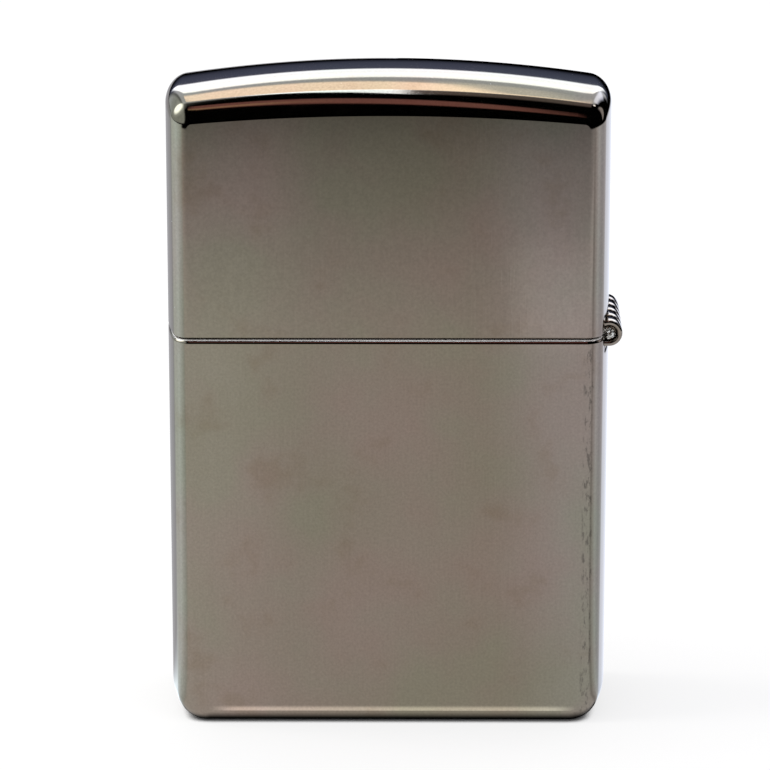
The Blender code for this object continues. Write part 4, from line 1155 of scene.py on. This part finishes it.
ease_edges(cam, CAM_EDGE)

# Wick. Three strands of cotton laid together into a cord, drawn down the flue and on through the
# wadding in slack bends; its top is burnt black.
WICK_RADIUS = 1.5 * MM
STRAND_RADIUS = 0.76 * MM
STRAND_TURN = 6.0 * MM
STRAND_SIDES = 12
STRAND_STEPS = 20
WICK_SWAY = 3.6 * MM
SWAY_TOP = 36.0 * MM
CHAR_DEPTH = 5.0 * MM


def laid_cotton():
    """Cotton cord: cream fibres that follow the lay, soft fuzz, and a charred top."""
    material, tree, shader, place = new_material("laid_cotton", (0.80, 0.76, 0.66), 0.0, 0.95)
    fibre = noise(tree, place, 0.14 * MM, 3.0, stretch=(1, 1, 0.2), turn=(0.5, 0.3, 0))
    cream = graded(tree, fibre, (0.3, (0.62, 0.57, 0.47)), (0.7, (0.86, 0.83, 0.74)))
    height = tree.nodes.new("ShaderNodeSeparateXYZ")
    wire(tree, (place, height.inputs[0]))
    ragged = calculate(tree, "MULTIPLY", noise(tree, place, 0.8 * MM, 3.0), 2.0 * MM)
    level = calculate(tree, "SUBTRACT", height.outputs["Z"], ragged)
    burnt = rising(tree, level, wick_high.z - CHAR_DEPTH, wick_high.z - 0.5 * CHAR_DEPTH)
    wire(tree, (blended(tree, burnt, cream, (0.018, 0.016, 0.015)), shader.inputs["Base Color"]))
    add_bump(tree, shader, fibre, 0.8, 0.08 * MM)
    shader.inputs["Sheen Weight"].default_value = 0.3
    return material


def wick_at(height):
    """How far across the wick lies at a height: straight in the flue, slack in the wadding."""
    depth = min(1.0, max(0.0, (SWAY_TOP - height) / (SWAY_TOP - wick_low.z)))
    return wick_x + WICK_SWAY * min(1.0, 2 * depth) * math.sin(2 * math.pi * depth)


bm = bmesh.new()
wick_length = wick_high.z - wick_low.z
steps = round(wick_length / STRAND_TURN * STRAND_STEPS)
for strand in range(3):
    section = bmesh.ops.create_circle(bm, segments=STRAND_SIDES, radius=STRAND_RADIUS, cap_ends=True)
    verts = section["verts"]
    lie = Matrix.Rotation(strand * 2 * math.pi / 3, 4, "Z")
    aside = Matrix.Translation((WICK_RADIUS - STRAND_RADIUS, 0, 0))
    bmesh.ops.transform(bm, matrix=lie @ aside, verts=verts)
    geometry = dict.fromkeys(
        item for vert in verts for item in (vert, *vert.link_edges, *vert.link_faces)
    )
    bmesh.ops.spin(
        bm,
        geom=list(geometry),
        cent=(0, 0, 0),
        axis=(0, 0, 1),
        dvec=(0, 0, wick_length / steps),
        angle=2 * math.pi * steps / STRAND_STEPS,
        steps=steps,
    )
for vert in bm.verts:
    vert.co.z += wick_low.z
    vert.co.x += wick_at(vert.co.z)
bmesh.ops.recalc_face_normals(bm, faces=bm.faces)
make_piece(bm, "wick_cord", "case", "wick_cotton", laid_cotton(), "wick")

# Wadding. Five pads of loose white rayon, packed into the tank by hand round the wick; they soak up
# the fuel and hold it.
PAD_LUMP = 0.35 * MM
PAD_ROUND = 0.4
PADS = 5
TUNNEL_SIDES = 16
TUNNEL_STEPS = 40
TUNNEL_ROOM = 0.1 * MM
# Loose white fibres: matt, slightly yellowed by fuel, with a deep fine tangle.
fluff = patterned(
    "rayon_fluff",
    (0.86, 0.85, 0.82),
    metallic=0.0,
    roughness=1.0,
    tint=((5 * MM, 3.0), (0.35, (0.80, 0.77, 0.69)), (0.65, (0.88, 0.87, 0.85))),
    bump=((0.35 * MM, 5.0, 0.7), 1.0, 0.25 * MM),
    sheen=0.4,
)


def wick_tunnel():
    """The wick's own path as a plain tube, with room round it."""
    bm = bmesh.new()
    radius = WICK_RADIUS + TUNNEL_ROOM
    bmesh.ops.create_circle(bm, segments=TUNNEL_SIDES, radius=radius, cap_ends=True)
    bmesh.ops.translate(bm, vec=(0, 0, wick_low.z - TUNNEL_ROOM), verts=bm.verts)
    face = bm.faces[:]
    rise = (SWAY_TOP + OVERCUT - wick_low.z) / TUNNEL_STEPS
    for step in range(TUNNEL_STEPS):
        grown = bmesh.ops.extrude_face_region(bm, geom=face)["geom"]
        if step:
            bmesh.ops.delete(bm, geom=face, context="FACES_ONLY")
        face = [item for item in grown if isinstance(item, bmesh.types.BMFace)]
        bmesh.ops.translate(bm, vec=(0, 0, rise), verts=verts_of(grown))
    for vert in bm.verts:
        vert.co.x += wick_at(vert.co.z)
    bmesh.ops.recalc_face_normals(bm, faces=bm.faces)
    return bm


for index in range(1, PADS + 1):
    node = f"wadding_{index}"
    low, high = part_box(node)
    inset = Vector((PAD_LUMP, PAD_LUMP, PAD_LUMP)) / 2
    bm = block(low + inset, high - inset)
    rounded(bm, bm.edges[:], PAD_ROUND * (high.z - low.z), 5)
    bmesh.ops.subdivide_edges(bm, edges=bm.edges[:], cuts=1, use_grid_fill=True)
    bmesh.ops.triangulate(bm, faces=[face for face in bm.faces if len(face.verts) > 4])
    bm.normal_update()
    for vert in bm.verts:
        wave = math.sin(1.9 * vert.co.x / MM + index) * math.sin(1.3 * vert.co.z / MM)
        vert.co += vert.normal * 0.4 * PAD_LUMP * wave * math.cos(1.6 * vert.co.y / MM + 2 * index)
    bm = carved(bm, wick_tunnel())
    pad = make_piece(bm, f"wadding_pad_{index}", "case", "rayon_wadding", fluff, node)

# Felt. A thick pad of grey pressed felt that closes the bottom of the tank, cut away round the head
# of the flint screw.
FELT_CORNER = 1.2 * MM
FELT_EDGE = 0.35 * MM
FELT_HOLE = 2.7 * MM
# Grey pressed wool: flecked light and dark, with a matted nap.
FLECKS = (0.4 * MM, 5.0, 0.7)
pressed_felt = patterned(
    "pressed_felt",
    (0.55, 0.54, 0.52),
    metallic=0.0,
    roughness=1.0,
    tint=(FLECKS, (0.3, (0.36, 0.35, 0.33)), (0.5, (0.55, 0.54, 0.52)), (0.7, (0.72, 0.71, 0.69))),
    bump=((0.2 * MM, 4.0, 0.7), 0.9, 0.12 * MM),
    sheen=0.3,
)
felt_low, felt_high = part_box("felt_pad")
bm = block(felt_low, felt_high)
rounded(bm, upright_edges(bm), FELT_CORNER, 8)
bm = carved(bm, drill(FELT_HOLE, (wheel_axis.x, 0, felt_low.z), 2 * (felt_high.z - felt_low.z)))
felt = make_piece(bm, "felt_plug", "case", "grey_felt", pressed_felt, "felt_pad")
ease_edges(felt, FELT_EDGE)

# Flint, plunger, spring and screw. They go up the tube from below: a rod of sparking alloy, worn
# hollow by the wheel, on a brass plunger and a long spring that the slotted screw holds in.
WIRE_RADIUS = 0.19 * MM
SPRING_TURNS = 15
SPRING_STEPS = 24
WIRE_SIDES = 10
STEM_RADIUS = 0.65 * MM
STEM_LENGTH = 3.0 * MM
SCREW_SHANK = 1.4 * MM
SCREW_HEAD = 1.4 * MM
SCREW_PEG = (0.7 * MM, 2.5 * MM)
SCREW_SLOT = (0.8 * MM, 0.6 * MM)
THREAD_PITCH = 0.5 * MM
THREAD_DEPTH = 0.16 * MM
CRUMB = 0.1 * MM
# Dull grey pressed alloy with a grainy, crumbling surface.
ALLOY_GRAIN = (0.18 * MM, 4.0, 0.7)
sparking_alloy = patterned(
    "sparking_alloy",
    (0.16, 0.15, 0.15),
    metallic=0.7,
    roughness=0.62,
    tint=(ALLOY_GRAIN, (0.3, (0.08, 0.075, 0.075)), (0.7, (0.26, 0.25, 0.245))),
    bump=(ALLOY_GRAIN, 0.6, 0.05 * MM),
)
flint_low, flint_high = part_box("flint")
flint_radius = (flint_high.x - flint_low.x) / 2
rod = [
    (0, flint_low.z),
    (flint_radius - CRUMB, flint_low.z),
    (flint_radius, flint_low.z + CRUMB),
    (flint_radius, flint_high.z),
    (0, flint_high.z),
]
worn = drill(wheel_radius + CLEARANCE, wheel_axis, 2 * wheel_half, DEPTHWISE, 96)
bm = carved(turned(rod, column, 40), worn)
keep_corners(make_piece(bm, "flint_rod", "flint_column", "flint_alloy", sparking_alloy, "flint"))

plunger_low, plunger_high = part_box("flint_plunger")
neck = plunger_low.z + STEM_LENGTH
plunger = [
    (0, plunger_high.z),
    (flint_radius - CRUMB, plunger_high.z),
    (flint_radius, plunger_high.z - CRUMB),
    (flint_radius, neck + CRUMB),
    (flint_radius - CRUMB, neck),
    (STEM_RADIUS, neck),
    (STEM_RADIUS, plunger_low.z + 2 * CRUMB),
    (STEM_RADIUS - 2 * CRUMB, plunger_low.z),
    (0, plunger_low.z),
]
bm = turned(plunger, column, 40)
keep_corners(make_piece(bm, "flint_plunger_tip", "flint_column", "brass", brass, "flint_plunger"))

spring_low, spring_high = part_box("flint_spring")
coil_radius = (spring_high.x - spring_low.x) / 2 - WIRE_RADIUS
rise = spring_high.z - spring_low.z - 2 * WIRE_RADIUS
bm = bmesh.new()
bmesh.ops.create_circle(bm, segments=WIRE_SIDES, radius=WIRE_RADIUS, cap_ends=True)
bmesh.ops.rotate(bm, matrix=Matrix.Rotation(math.pi / 2, 3, "X"), verts=bm.verts)
bmesh.ops.translate(bm, vec=(coil_radius, 0, 0), verts=bm.verts)
bmesh.ops.spin(
    bm,
    geom=bm.verts[:] + bm.edges[:] + bm.faces[:],
    cent=(0, 0, 0),
    axis=(0, 0, 1),
    dvec=(0, 0, rise / (SPRING_TURNS * SPRING_STEPS)),
    angle=2 * math.pi * SPRING_TURNS,
    steps=SPRING_TURNS * SPRING_STEPS,
)
bmesh.ops.translate(bm, vec=(wheel_axis.x, 0, spring_low.z + WIRE_RADIUS), verts=bm.verts)
bmesh.ops.recalc_face_normals(bm, faces=bm.faces)
temper = spring_temper("coil_temper", (0.5, 0.49, 0.47))
coil = make_piece(bm, "flint_coil_spring", "case", "spring_steel", temper, "flint_spring")
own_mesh(coil)

screw_low, screw_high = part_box("flint_screw")
head_radius = (screw_high.x - screw_low.x) / 2
head_top = screw_low.z + SCREW_HEAD
shoulder = screw_high.z - SCREW_PEG[1]
screw = [
    (0, screw_high.z),
    (SCREW_PEG[0] - CRUMB, screw_high.z),
    (SCREW_PEG[0], screw_high.z - CRUMB),
    (SCREW_PEG[0], shoulder),
    (SCREW_SHANK - THREAD_DEPTH, shoulder),
]
threads = int((shoulder - head_top) / THREAD_PITCH) - 1
for turn in range(threads):
    crest = shoulder - (turn + 0.5) * THREAD_PITCH
    screw += [(SCREW_SHANK, crest), (SCREW_SHANK - THREAD_DEPTH, crest - 0.5 * THREAD_PITCH)]
screw += [
    (SCREW_SHANK - THREAD_DEPTH, head_top),
    (head_radius - CRUMB, head_top),
    (head_radius, head_top - CRUMB),
    (head_radius, screw_low.z + 2 * CRUMB),
    (head_radius - 2 * CRUMB, screw_low.z),
    (0, screw_low.z),
]
slot_half = Vector((head_radius + OVERCUT, SCREW_SLOT[0] / 2, SCREW_SLOT[1]))
slot_at = Vector((wheel_axis.x, 0, screw_low.z))
bm = carved(turned(screw, column, 48), block(slot_at - slot_half, slot_at + slot_half))
keep_corners(make_piece(bm, "flint_screw_slotted", "case", "brass", brass, "flint_screw"))
